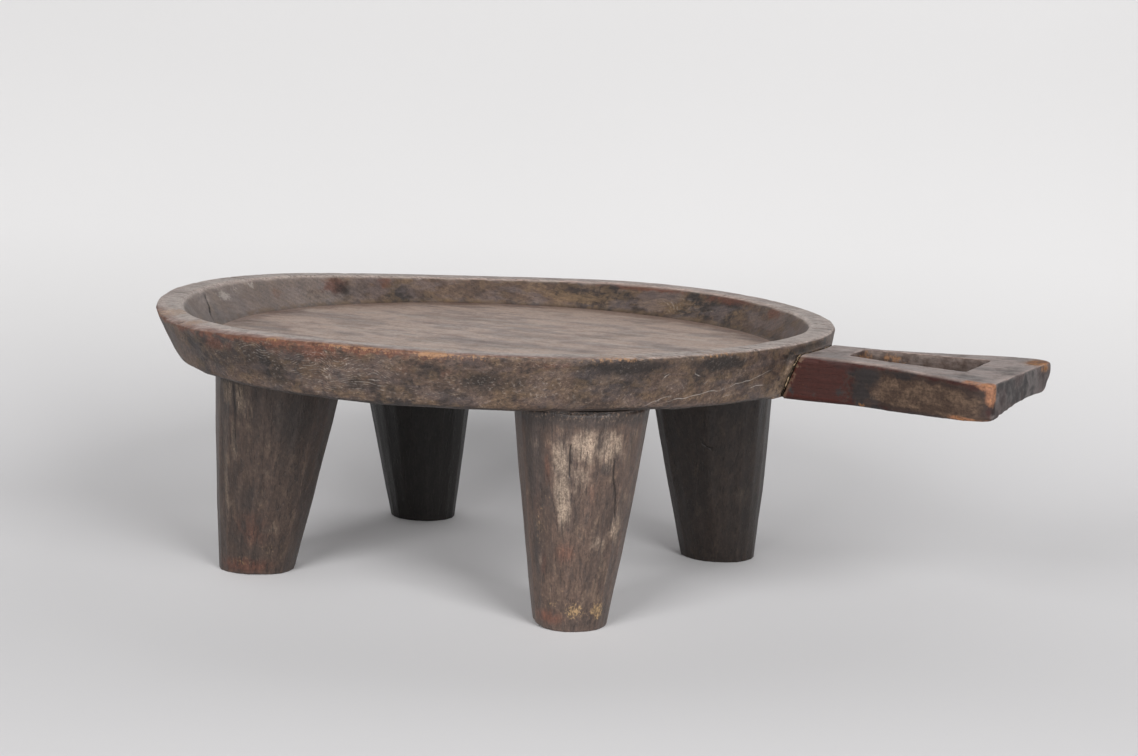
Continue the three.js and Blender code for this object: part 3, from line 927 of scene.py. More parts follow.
def dish_fields(form, mesh):
    """Fields that the dish's finish reads."""
    places, normals = read(mesh), read(mesh, "normal")
    outer, inner, rim, floor, under = dish_zones(places, normals)
    edge_out, edge_in, edge_floor = form.edge_gaps(places)
    bearing = np.arctan2(places[:, 1], places[:, 0])
    crack_side, crack_near = line_fields(places, DISH_CRACKS)
    web_side, web_near = line_fields(places, COBWEBS, reach=2.0, wander=2.2, seed=90)
    beside_seam = ease(seam_gap(places), 196, 198.5) * ease(places[:, 2], 154, 150)
    fields = spot_fields(places, DISH_SPOTS)
    # The whole underside is darkened as well
    fields["grime_and_dark_underside"] = np.maximum(fields["grime_and_dark_underside"], 0.6 * under)
    store(mesh, {
        **fields, "inner": inner, "rim": rim, "floor": floor,
        "edge_out": edge_out, "edge_in": edge_in, "edge_floor": edge_floor,
        "front": bearing_window(places, -140, -82, 22),
        "near_rim": bearing_window(places, -140, -50, 12),
        "misty": inner * bearing_window(places, 158, 218, 16),
        "ends": ease(np.abs(np.cos(bearing)), 0.45, 0.75),
        "crack_side": crack_side, "crack_near": crack_near * (1 - outer),
        "web_side": web_side, "web_near": web_near * outer,
        "beside_seam": outer * beside_seam, "crest_painted_shade_and_highlight": crests(mesh),
    })


def wall_coat(f, wood, broad, patchy, mottle):
    """The dish's walls: smoke, dust and bloom, partly painted sheen, in ragged patches."""
    inner = f["inner"]
    smooth = f.linear(inner, -0.25, 0.45)
    flecks = f.noise(8, shift=12.1)
    bloom = f.noise((28, 26, 9), detail=4.0, shift=6.5)
    coat = f.coats(
        f.mix(wood.dark, wood.brown, f.span(broad, 0.36, 0.54)),
        (wood.tan, f.span(patchy, 0.51, 0.6), 0.5),
        (wood.dark, f.span(patchy, 0.49, 0.4), f.linear(inner, -0.3, 0.7)),
        (wood.straw, f.patch(f["straw"], mottle, 0.45, 0.9), 0.6),
        (wood.tan, f.span(mottle, 0.5, 0.64), smooth),
        (wood.dark, f.span(mottle, 0.5, 0.36), smooth),
        (wood.straw, f.span(flecks, 0.5, 0.62), 0.3),
        # Partly painted sheen: the grey bloom, heaviest on the inner wall, and the misty grey at
        # its left end
        (wood.haze_and_painted_sheen, f.span(bloom, 0.48, 0.6), f.linear(inner, 0.2, 0.24)),
        (f.mix(wood.haze_and_painted_sheen, wood.pale, 0.25), f["misty"], 0.45),
    )
    return f.coats(
        f.shades(coat, (inner, 0.0, 1.0, 1.0, 1.14)),
        (wood.red, f.patch(f["rust"], patchy, 0.35, 0.85), 0.75),
        (f.shade(wood.dark, 0.75), f.patch(f["grime_and_dark_underside"], patchy, 0.3, 0.75, 1.6), 0.88),
    )


def floor_coat(f, wood, broad, patchy):
    """The floor: dry, rubbed wood, painted sheen, streaked along the grain, dirtier by the wall.
    """
    streak = f.noise((70, 7, 7), detail=5.0, roughness=0.6, shift=6.0)
    worked = f.noise((40, 17, 17), detail=4.0, roughness=0.6, shift=9.1)
    knife = f.noise((30, 1.0, 1.0), detail=2.0, shift=6.1)
    near_wall = f.patch(f.span(f["edge_floor"], 30.0, 3.0), patchy, 0.2, 1.0)
    return f.coats(
        wood.floor,
        (wood.brown, f.span(broad, 0.5, 0.64), 0.4),
        (wood.haze_and_painted_sheen, f.span(worked, 0.5, 0.62), 0.5),
        (wood.red, f.span(f.noise(34, detail=4.0, shift=11.3), 0.5, 0.66), 0.25),
        (wood.pale, f.span(streak, 0.52, 0.68), 0.3),
        (wood.dark, f.span(streak, 0.48, 0.3), 0.18),
        (wood.pale, f.span(knife, 0.6, 0.7), 0.2),
        (f.mix(wood.brown, wood.red, 0.45), near_wall, 0.55),
    )


def rim_coat(f, wood, patchy, mottle):
    """The rim's top: rubbed pale by hands, with painted sheen, and brown left in its hollows."""
    redder = f.times(f["near_rim"], f.span(f["edge_out"], 8.0, 2.0))
    handled = f.span(f["near_rim"], 0.0, 1.0, 0.4, 1.0)
    rubbed = f.noise((24, 2, 2), detail=4.0, shift=2.4)
    return f.coats(
        wood.rim,
        (wood.haze_and_painted_sheen, f.span(patchy, 0.44, 0.58), 0.45),
        (wood.brown, f.span(mottle, 0.52, 0.64), 0.5),
        (wood.worn, f.times(redder, f.span(patchy, 0.34, 0.56, 0.45, 1.0)), 0.9),
        (wood.pale, f["ends"], 0.3),
        (wood.pale, f.times(f.span(f["edge_out"], 5.0, 10.0), handled), 0.34),
        (wood.pale, f.span(rubbed, 0.52, 0.66), 0.35),
    )


def bared_edge(f, wood, fibres, mottle, speck):
    """The wood bared along the rim's front edge, and where it shows."""
    tooth = f.linear(f.noise(7, detail=5.0, roughness=0.65, shift=8.0), 18.0, -5.4)
    shown = f.span(f.sum("SUBTRACT", f["edge_out"], tooth), 2.0, -1.4)
    shown = f.times(shown, f.times(f["front"], f.span(f["rim"], 0.2, 0.9, 1.0, 0.4)))
    bare = f.coats(
        wood.worn,
        (wood.red, f.span(f.noise(7, detail=4.0, shift=1.3), 0.44, 0.58), 0.8),
        (wood.dark, f.span(mottle, 0.52, 0.62), 0.5),
        (wood.ochre, f.span(speck, 0.54, 0.64), 0.3),
    )
    return f.shades(bare, (fibres, 0.3, 0.7, 0.75, 1.15)), shown


def scratch_lines(f):
    """Fine broken lines that follow the curve of the growth rings, from 0 to 1."""
    offset = f.vector("SUBTRACT", f.places, (-60, -170, 100))
    away = f.vector("LENGTH", f.vector("MULTIPLY", offset, (0.55, 0.3, 1.0)))
    away = f.linear(f.noise(26, detail=1.0, shift=5.9), 22.0, away)
    away = f.linear(f.noise(5, detail=1.0, shift=2.9), 0.9, away)
    lines = f.span(f.sum("SINE", f.times(away, 2 * math.pi / 1.3)), 0.4, 0.95)
    breaks = f.noise((7, 7, 1.2), detail=4.0, roughness=0.75, shift=8.8)
    return f.times(lines, f.span(breaks, 0.47, 0.58))


def dish_finish(wood):
    """Smoked, oiled and rubbed hardwood with its grain along the handle."""
    f = Finish("dish_wood")
    rings, fibres, pores = grain(f, ALONG_HANDLE, (0, -40, 40), spacing=3.4)
    broad = f.noise(46)
    patchy, mottle, speck = f.patterns(13, (5.4, 4.4, 3.8), (2.4, 1.7, 1.5))
    band = f.times(f["beside_seam"], f.span(mottle, 0.4, 0.54))
    dry = f.linear(f.sum("MAXIMUM", f["silver"], f["straw"]), 0.2, 0.1)
    calm = f.sum("SUBTRACT", 1.0, f.sum("MAXIMUM", f["inner"], f["floor"]))
    flecks = f.times(f.span(speck, 0.57, 0.67), f.span(patchy, 0.44, 0.56))
    pits = f.span(f.noise(2.3, roughness=0.6, shift=7.1), 0.58, 0.67)
    hatch = f.span(f.noise((14, 1.1, 1.1), detail=2.0, shift=4.7), 0.54, 0.63)
    hatch = f.times(f.times(hatch, f["ends"]), f["rim"])
    coat = f.coats(
        wall_coat(f, wood, broad, patchy, mottle),
        (floor_coat(f, wood, broad, patchy), f["floor"]),
        (rim_coat(f, wood, patchy, mottle), f["rim"], 0.9),
        (f.mix(wood.straw, wood.pale, 0.1), band, 0.6),
        (wood.pale, flecks, f.times(dry, calm)),
        (wood.dark, pits, f.linear(calm, 0.3, 0.15)),
        (wood.brown, hatch, 0.75),
    )
    coat = f.shades(coat, (rings, 0.0, 1.0, 0.93, 1.04), (fibres, 0.3, 0.7, 0.84, 1.14))
    grit = f.span(speck, 0.32, 0.68, -0.17, 0.17)
    grit = f.times(grit, f.span(f["inner"], 0.0, 1.0, 1.0, 0.45))
    scratches = scratch_lines(f)
    silver = f.times(scratches, f.patch(f["silver"], mottle, 0.3, 0.8))
    scuff = f.noise((6, 3, 3), detail=5.0, roughness=0.7, shift=1.9)
    fray = f.noise(1.8, detail=4.0, roughness=0.75, shift=3.6)
    # Painted highlight: a pale line along the rim's inner edge
    rubbed = f.times(f.span(f["edge_in"], 2.4, 0.6), f.span(patchy, 0.42, 0.56))
    dust = f.times(f.span(f["edge_floor"], 3.6, 0.8), f.span(patchy, 0.4, 0.55))
    coat = f.coats(
        f.shade(coat, f.sum("ADD", grit, 1.0)),
        (wood.pale, silver, 0.3),
        (wood.pale, f.patch(f["pale"], scuff, 0.5, 0.9, 2.4), 0.5),
        (*bared_edge(f, wood, fibres, mottle, speck), 0.85),
        (wood.ochre, f.patch(f["straw_edge"], fray, 0.4, 0.8, 2.6), 0.65),
        # the painted highlight along the rim's inner edge
        (wood.pale, rubbed, 0.35),
        (wood.straw, dust, 0.45),
    )
    # Painted shade in the hollows and painted highlight on the edges, by how far each point stands
    # above the smoothed mesh
    coat = f.shades(coat, (f["crest_painted_shade_and_highlight"], -0.5, 0.35, 0.6, 1.18))
    width = 0.62  # of the cracks, in mm
    gap = f.linear(f["crack_near"], -width, f.sum("ABSOLUTE", f["crack_side"]))
    split = f.times(f.span(gap, 0.1, -0.06), f.span(f["crack_near"], 0.12, 0.4))
    thread = f.span(f.sum("ABSOLUTE", f["web_side"]), 0.28, 0.08)
    broken = f.times(f["web_near"], f.noise(4, shift=4.4))
    coat = f.coats(
        f.shade(coat, f.linear(pores, -0.35, 1.0)),
        (f.shade(wood.dark, 0.3), split, 0.8),
        (wood.pale, f.times(thread, f.span(broken, 0.02, 0.5)), 0.5),
    )
    upper = f.sum("MAXIMUM", f["floor"], f["rim"])
    gloss = f.linear(upper, -0.16, f.span(patchy, 0.35, 0.65, 0.52, 0.64))
    relief = f.relief(
        (rings, 0.12), (fibres, 0.45), (speck, 0.5), (mottle, 0.5), (pores, -0.5),
        (pits, -0.5), (hatch, -0.8), (scratches, 0.3), (split, -1.5),
    )
    return f.done(coat, gloss, 0.35, Normal=f.bump(relief, 0.35, 0.8))


class TRAY_OT_dish(bpy.types.Operator):
    """Carve the dish and cut its sockets"""

    bl_idname = "tray.dish"
    bl_label = "Dish"

    def execute(self, context):
        settings = context.scene.tray_dish
        form = DishForm()
        middle = (AXIS.x, AXIS.y)
        low, high = (*middle, UNDERSIDE * MM), (*middle, FLOOR_LEVEL * MM)
        piece = ring_mesh("dish_carved", form.rings, low, high)
        carve_dish(form, piece.data, settings)
        cut_away(piece, self.sockets(context.scene.tray_joints))
        dish_fields(form, piece.data)
        finish_piece(piece, dish_finish(settings), "dish_wood", "dish")
        return {"FINISHED"}

    def sockets(self, joints):
        """The legs' sockets, and the mortise and holes for the handle's tongue and pegs."""
        gap = joints.clearance * MM
        below = UNDERSIDE * MM - CUTTER_CLEAR
        top = UNDERSIDE * MM + joints.tenon_length * MM
        through_wall = 20 * MM
        for name in LEG_NAMES:
            low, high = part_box("wedge_" + name)
            x, y, _ = (low + high) / 2
            yield bar, joints.tenon_radius * MM + gap, below, top, x, y
        low, high = tongue_box()
        yield block, low - Vector((gap, gap, gap)), high + Vector((through_wall, gap, gap))
        for name in ("front", "back"):
            low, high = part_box("handle_peg_" + name)
            x, y, _ = (low + high) / 2
            yield bar, (high.x - low.x) / 2 + gap, below, high.z + gap, x, y


def tongue_box():
    """The handle's tongue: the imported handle's points nearest the dish's axis give its sides."""
    points = solid_points("handle")
    end = points[points[:, 0] < HANDLE_ROOT + 1 * MM]
    return Vector(end.min(axis=0)), Vector(end.max(axis=0))


# The handle


HANDLE_SPOTS = {
    "maroon": [
        ((222, -28, 145), (30, 12, 40)), ((262, -30, 156), (44, 12, 4), 0.8),
        ((290, -44, 157), (50, 20, 2.5), 0.6), ((236, 0, 131), (40, 40, 6), 0.6),
    ],
    "blotch": [
        ((256, -29, 150), (16, 12, 8)), ((278, -35, 153), (26, 12, 4), 0.8),
        ((251, -28, 141), (9, 12, 14), 0.8), ((262, -30, 135), (18, 12, 4), 0.5),
        ((327, -53, 147), (3.5, 9, 9), 0.6),
    ],
    "crumbly": [((237, 14, 152), (6, 26, 9)), ((250, 27, 152), (18, 6, 9), 0.85)],
    "bare": [
        ((340, -58, 156), (10, 7, 7), 1.2), ((339, -58, 148), (6, 7, 14), 1.1),
        ((326, -55, 158), (14, 6, 2.2), 0.75), ((316, -52, 134), (22, 7, 2.6)),
        ((252, -29, 132.5), (3.5, 5, 2.5), 0.9), ((334, 44, 157.5), (12, 24, 3.5), 1.35),
        ((340, 40, 154), (4, 16, 4), 0.9), ((332, 56, 148), (12, 8, 9), 0.8),
        ((337, 46, 140), (6, 16, 4), 0.8),
    ],
    "ember": [
        ((337, -57, 151), (9, 9, 15), 1.4), ((333, -56, 156), (13, 8, 6), 1.2),
        ((322, -54, 157), (18, 8, 3.6), 0.9), ((318, -53, 135), (28, 7, 3), 0.9),
    ],
    "cool": [((318, -38, 158), (22, 12, 5)), ((332, 6, 158), (14, 44, 5), 0.75)],
}
HANDLE_CHIPS = [
    ((338, -54, 157), (8, 8, 5)), ((337, -40, 136), (8, 20, 4)), ((338, 50, 157), (6, 16, 3)),
]


def handle_fields(mesh):
    """Fields that the handle's finish reads."""
    places, normals = read(mesh), read(mesh, "normal")
    x, y, z = places.T
    top = ease(normals[:, 2], 0.5, 0.85)
    slot = ease(x, 233, 237) * ease(x, 312, 308) * ease(np.abs(y - 7.5), 31, 27)
    slot = slot * (1 - top) * (normals[:, 2] > -0.6)
    lean = z + 0.03 * (x - 290)
    dusty = ease(x, 244, 270) * ease(x, 337, 328) * ease(lean, 158, 148) * ease(lean, 131, 138)
    fields = spot_fields(places, HANDLE_SPOTS)
    fields["crumbly"] = np.maximum(fields["crumbly"], 0.04 * slot)
    store(mesh, {
        **fields, "top": top, "end": ease(normals[:, 0], 0.5, 0.85) * (x > 325), "slot": slot,
        "dusty": ease(-y, 20, 26) * dusty, "seam": ease(seam_gap(places), 205, 202.5),
        "crest_painted_shade_and_highlight": crests(mesh, 16),
    })


def carve_handle(mesh, settings):
    """Works the handle's mesh with knife cuts and chipped corners."""
    places, normals = read(mesh), read(mesh, "normal")
    outside = ease(places[:, 0], 214, 222)
    rise = outside * 0.2 * lumps(places, 34, 41)
    rise += outside * settings.cuts * even_cuts(places, (30, 10, 12), 43)
    knocked = blob(places, (332, 56, 140), (20, 18, 9))
    rise -= settings.raggedness * knocked * ease(layers(places, (7, 7, 5), 47), -0.5, 0.6)
    rise -= 0.7 * blobs(places, HANDLE_CHIPS) * ease(layers(places, 5, 51), -0.1, 0.7)
    rise += outside * 0.06 * layers(places, (20, 3, 3), 53)
    write(mesh, places + normals * rise[:, None])


def knocked_wood(f, wood, patchy, mottle, speck):
    """Coats for the knocked corners: orange-brown wood, with bare wood in its middle."""
    shreds = f.noise((3.4, 1.6, 1.6), detail=4.0, shift=6.6)
    ember = f.coats(
        wood.ember,
        (wood.brown, f.span(mottle, 0.52, 0.62), 0.5),
        (wood.bare, f.span(shreds, 0.5, 0.6), 0.4),
    )
    grit = f.noise((1.4, 1.0, 1.0), roughness=0.7, shift=8.2)
    bare = f.coats(
        wood.bare,
        (wood.ember, f.span(patchy, 0.44, 0.56), 0.75),
        (wood.brown, f.span(mottle, 0.49, 0.57), 0.6),
        (wood.tan, f.span(grit, 0.5, 0.6), 0.5),
    )
    ember = f.shades(ember, (speck, 0.36, 0.64, 0.72, 1.18))
    bare = f.shades(bare, (speck, 0.36, 0.64, 0.68, 1.26))
    return (
        (ember, f.patch(f["ember"], patchy, 0.3, 0.7, 1.2), 0.88),
        (bare, f.patch(f["bare"], mottle, 0.34, 0.82, 2.2), 0.88),
    )


def handle_finish(wood):
    """Hand-polished red-brown wood, dusty on its side and bare at the knocked corners."""
    f = Finish("handle_wood")
    rings, fibres, pores = grain(f, ALONG_HANDLE, (0, -40, 60), spacing=2.6)
    broad = f.noise(30, detail=4.0)
    patchy, mottle, speck = f.patterns(9, (3.0, 3.0, 4.2), (1.8, 1.4, 1.4))
    dusty = f.patch(f["dusty"], patchy, 0.5, 0.95, 1.6)
    cloud = f.noise((13, 9, 7), detail=4.0, roughness=0.6, shift=13.0)
    dust = f.times(dusty, f.span(mottle, 0.36, 0.58, 0.45, 1.0))
    dust = f.times(dust, f.span(cloud, 0.4, 0.56, 0.25, 1.0))
    rubbed = f.noise((26, 4, 4), detail=4.0, shift=7.1)
    # The upper face: its pale colour is partly a painted sheen
    upper = f.coats(
        wood.top,
        (wood.dark, f.span(broad, 0.52, 0.64), 0.4),
        (wood.maroon, f.span(patchy, 0.53, 0.64), 0.35),
        (wood.haze_and_painted_sheen, f.span(rubbed, 0.5, 0.64), 0.5),
        (f.mix(wood.dark, wood.haze_and_painted_sheen, 0.3), f.patch(f["cool"], patchy, 0.2, 0.9, 1.4), 0.6),
    )
    end = f.coats(
        wood.dark,
        (wood.haze_and_painted_sheen, f.span(patchy, 0.4, 0.6), 0.6),
        (wood.maroon, f.span(broad, 0.48, 0.58), 0.35),
    )
    hollow = f.coats(
        wood.brown,
        (f.mix(wood.haze_and_painted_sheen, wood.tan, 0.4), f.span(patchy, 0.38, 0.66), 0.8),
        (wood.dark, f.span(mottle, 0.5, 0.38), 0.25),
    )
    coat = f.coats(
        wood.dark,
        (wood.brown, f.span(patchy, 0.4, 0.58)),
        (wood.maroon, f.span(broad, 0.46, 0.56), 0.7),
        (wood.maroon, f.patch(f["maroon"], patchy, 0.2, 0.6, 3.0)),
        (f.mix(wood.brown, wood.dark, 0.4), f.patch(f["dusty"], patchy, 0.1, 0.45, 1.3), 0.9),
        (wood.brown, dusty, 0.7),
        (wood.tan, dust, 0.85),
        (wood.dark, f.patch(f["blotch"], patchy, 0.35, 0.75, 2.4), 0.9),
        (upper, f["top"]),
        (end, f["end"]),
        (hollow, f["slot"], 0.9),
        (f.mix(wood.bare, wood.tan, 0.5), f.patch(f["crumbly"], mottle, 0.5, 0.95, 2.2), 0.7),
    )
    coat = f.shades(coat, (rings, 0.0, 1.0, 0.93, 1.04))
    rough = f.span(f.sum("ADD", dust, f["bare"]), 0.0, 0.5, 0.5, 1.0)
    coat = f.shade(coat, f.linear(f.span(fibres, 0.3, 0.7, -0.17, 0.17), rough, 1.0))
    coat = f.shade(coat, f.linear(f.span(speck, 0.32, 0.68, -0.22, 0.22), rough, 1.0))
    crumbs = f.span(f.noise(2.0, detail=5.0, shift=3.0), 0.44, 0.56)
    coat = f.coats(
        coat,
        *knocked_wood(f, wood, patchy, mottle, speck),
        (wood.tan, f.times(f["seam"], crumbs), 0.7),
    )
    # Painted shade in the hollows and painted highlight on the edges, by how far each point stands
    # above the smoothed mesh
    coat = f.shades(coat, (f["crest_painted_shade_and_highlight"], -0.6, 0.6, 0.6, 1.2))
    coat = f.shade(coat, f.linear(pores, -0.3, 1.0))
    gloss = f.span(f.sum("ADD", dust, f["crumbly"]), 0.0, 1.0, 0.5, 0.74)
    gloss = f.linear(f["top"], f.span(patchy, 0.35, 0.65, -0.1, 0.02), gloss)
    gloss = f.sum("MAXIMUM", gloss, f.span(f["bare"], 0.4, 0.9, 0.0, 0.85))
    relief = f.relief((speck, 0.35), (fibres, 0.4), (pores, -0.5))
    return f.done(coat, gloss, 0.22, Normal=f.bump(relief, 0.3, 0.6))


class TRAY_OT_handle(bpy.types.Operator):
    """Carve the fish-tail handle"""

    bl_idname = "tray.handle"
    bl_label = "Handle"

    def execute(self, context):
        settings = context.scene.tray_handle
        piece = remeshed("handle", "handle_carved", 0.95)
        relax(piece.data, 3)
        carve_handle(piece.data, settings)
        handle_fields(piece.data)
        finish_piece(piece, handle_finish(settings), "handle_wood", "handle")
        return {"FINISHED"}


# The legs

LEG_CRACKS = {
    "left": [[(-109, -124, 122), (-110, -120, 84)]],
    "front": [[(121, -139, 112), (120.5, -137, 92)], [(139, -121, 104), (137, -112, 66)]],
    "right": [[(121, 66, 120), (119, 66, 70)]],
    "back": [[(-108, 86, 110), (-108, 84, 60)]],
}
LEG_SPOTS = {
    "left": {
        "beige": [
            ((-114, -122, 116), (9, 10, 16), 0.9), ((-106, -125, 112), (9, 10, 18), 0.8),
            ((-112, -121, 84), (4, 8, 20), 0.6), ((-120, -116, 60), (5, 8, 40), 0.5),
            ((-96, -108, 30), (8, 8, 5), 0.5), ((-90, -118, 68), (20, 8, 4), 0.35),
        ],
        "rust": [((-104, -112, 30), (22, 16, 22), 0.6), ((-112, -110, 6), (30, 20, 8))],
        "ochre": [((-112, -112, 8), (14, 12, 4), 0.5), ((-92, -104, 18), (10, 10, 4), 0.4)],
        "dark": [((-72, -112, 100), (26, 30, 40), 0.9)],
    },
    "front": {
        "beige": [
            ((115, -139, 102), (8, 12, 22), 0.85), ((115.5, -136, 80), (6, 12, 26)),
            ((130, -136, 110), (22, 14, 15), 0.8), ((138, -124, 110), (14, 16, 15), 0.8),
            ((126, -136, 92), (14, 12, 18), 0.5), ((138, -111, 62), (4, 8, 20), 0.75),
            ((129, -120, 54), (12, 10, 14), 0.4), ((101, -141, 108), (7, 8, 8), 0.4),
        ],
        "rust": [
            ((106, -139, 98), (5, 8, 24), 0.6), ((102, -130, 40), (5, 8, 14), 0.6),
            ((116, -131, 48), (12, 8, 14), 0.55), ((98, -135, 80), (9, 8, 30), 0.5),
            ((130, -129, 84), (8, 8, 14), 0.45), ((104, -126, 8), (16, 14, 8), 0.8),
        ],
        "ochre": [
            ((120, -124, 13), (8, 9, 7), 0.85), ((129, -113, 12), (6, 9, 8), 0.95),
            ((100, -133, 62), (5, 8, 12), 0.5), ((106, -128, 17), (8, 8, 5), 0.4),
        ],
        "dark": [
            ((136, -124, 97), (7, 9, 9), 0.9), ((96, -138, 122), (18, 12, 8), 0.9),
            ((97, -138, 100), (12, 14, 44), 1.3), ((98, -130, 46), (10, 12, 44), 0.8),
            # The last spot darkens the whole top of the front leg under the dish: painted shade
            ((98, -140, 124), (22, 20, 12)), ((124, -136, 130), (60, 60, 7), 0.8),
        ],
    },
    "right": {
        "beige": [((138, 88, 46), (8, 10, 12), 0.5), ((113, 76, 36), (8, 8, 8), 0.4)],
        "rust": [((128, 84, 60), (14, 14, 30), 0.45)],
        "ochre": [],
        "dark": [],
    },
    "back": {
        "beige": [],
        "rust": [((-100, 76, 60), (16, 12, 30), 0.4)],
        "ochre": [],
        "dark": [],
    },
}
# How far each leg is darkened: painted shade on the right and back legs, darker wood on the left
# leg
LEG_DARK_WOOD_AND_PAINTED_SHADE = {"left": 0.56, "front": 0.0, "right": 0.95, "back": 1.2}


def leg_rings(name, joints):
    """Rings up a packed leg from foot to shoulder and up its tenon, with its pole points."""
    tree, points = solid_tree("leg_" + name), solid_points("leg_" + name)
    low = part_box("leg_" + name)[0].z
    wedge_low, wedge_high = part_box("wedge_" + name)
    head = np.array((wedge_low + wedge_high) / 2)[:2]
    sole = points[points[:, 2] < low + 0.1 * MM]
    foot = (sole.min(axis=0)[:2] + sole.max(axis=0)[:2]) / 2
    shoulder = (UNDERSIDE - joints.clearance) * MM
    bearings = np.arange(LEG_SECTORS) * 2 * math.pi / LEG_SECTORS
    margin = 0.0008  # rays stay this share of the height clear of both ends
    rises = low + (shoulder - low) * (margin + (1 - 2 * margin) * crowded(96, 0.45))
    middles = foot + (head - foot) * ((rises - low) / (shoulder - low))[:, None]
    heights = np.repeat(rises[:, None], LEG_SECTORS, axis=1)
    radii = side_radii(tree, middles, bearings, heights, True, reach=0.12)
    spokes = np.stack([np.cos(bearings), np.sin(bearings)], axis=-1)

    # Below the worn foot's edge the side runs on straight, down to a crisp edge
    worn_height = 6.2 * MM
    sound = int(np.argmax(rises - low > worn_height))
    above = sound + 6
    taper = (radii[above] - radii[sound]) / (rises[above] - rises[sound])
    radii[:sound] = radii[sound] - (rises[sound] - rises[:sound])[:, None] * taper
    radii[0] -= 0.25 * MM
    inset = (radii[0] - 3.4 * MM)[None, :]
    lift = np.maximum(face_heights(tree, foot, bearings, inset, False)[0] - low, 0)
    rises = rises[:, None] + lift * np.clip(1 - (rises - low) / (7 * MM), 0, 1)[:, None]

    def ring(middle, radius, height):
        flat = middle + np.reshape(radius, (-1, 1)) * spokes
        return np.column_stack([flat, np.broadcast_to(height, len(flat))])

    edge = radii[0] - 0.3 * MM
    tenon = joints.tenon_radius * MM
    ledge = radii[-1] - tenon
    top = (UNDERSIDE + joints.tenon_length - joints.clearance) * MM
    rings = [
        *(ring(foot, k * edge, low + k**2 * lift) for k in (0.25, 0.5, 0.75, 0.9, 1)),
        *(ring(*row) for row in zip(middles, radii, rises)),
        *(ring(head, tenon + k * ledge, shoulder) for k in (0.97, 0.66, 0.33)),
        *(ring(head, tenon, shoulder + k * (top - shoulder)) for k in (0.05, 0.5, 0.97)),
        *(ring(head, tenon * k, top) for k in (0.96, 0.6, 0.3)),
    ]
    return np.array(rings), (*foot, low), (*head, top)


def carve_leg(mesh, name, settings):
    """Works a leg's mesh with knife flutes, worn ends and cracks."""
    places, normals = read(mesh), read(mesh, "normal")
    height = places[:, 2]
    seed = 100 + 20 * LEG_NAMES.index(name)
    side = ease(np.abs(normals[:, 2]), 0.6, 0.35) * (height < UNDERSIDE - 0.5)
    rise = side * 0.3 * lumps(places, (26, 26, 60), seed)
    rise += side * settings.flutes * even_cuts(places, (8, 8, 90), seed + 3)
    rise += side * 0.14 * layers(places, (2.6, 2.6, 22), seed + 7)
    low_edge = ease(height, 3, 0.5) * side
    rise -= 0.5 * low_edge * ease(layers(places, (8, 8, 5), seed + 9), 0, 0.6)
    head_edge = ease(height, UNDERSIDE - 3.2, UNDERSIDE - 0.6) * side
    rise -= 1.7 * head_edge * ease(layers(places, (6, 6, 3), seed + 11), -0.35, 0.3)
    gap, near = line_fields(places, LEG_CRACKS[name])
    rise -= settings.crack_depth * close(gap, 0.7) * near * side
    places = places + normals * rise[:, None]
    places[:, 2] = np.maximum(places[:, 2], 0)
    write(mesh, places)


def leg_fields(mesh, name):
    """Fields that a leg's finish reads."""
    places = read(mesh)
    side, near = line_fields(places, LEG_CRACKS[name])
    fields = spot_fields(places, LEG_SPOTS[name])
    fields["beige"] *= ease(places[:, 2], UNDERSIDE - 3, UNDERSIDE - 12)
    # Painted shade under the dish, with the dark joint line: each leg's top is darkened
    fields["head"] = ease(places[:, 2], UNDERSIDE - 16, UNDERSIDE - 3)
    store(mesh, {**fields, "crack_side": side, "crack_near": near, "crest_painted_shade_and_highlight": crests(mesh)})


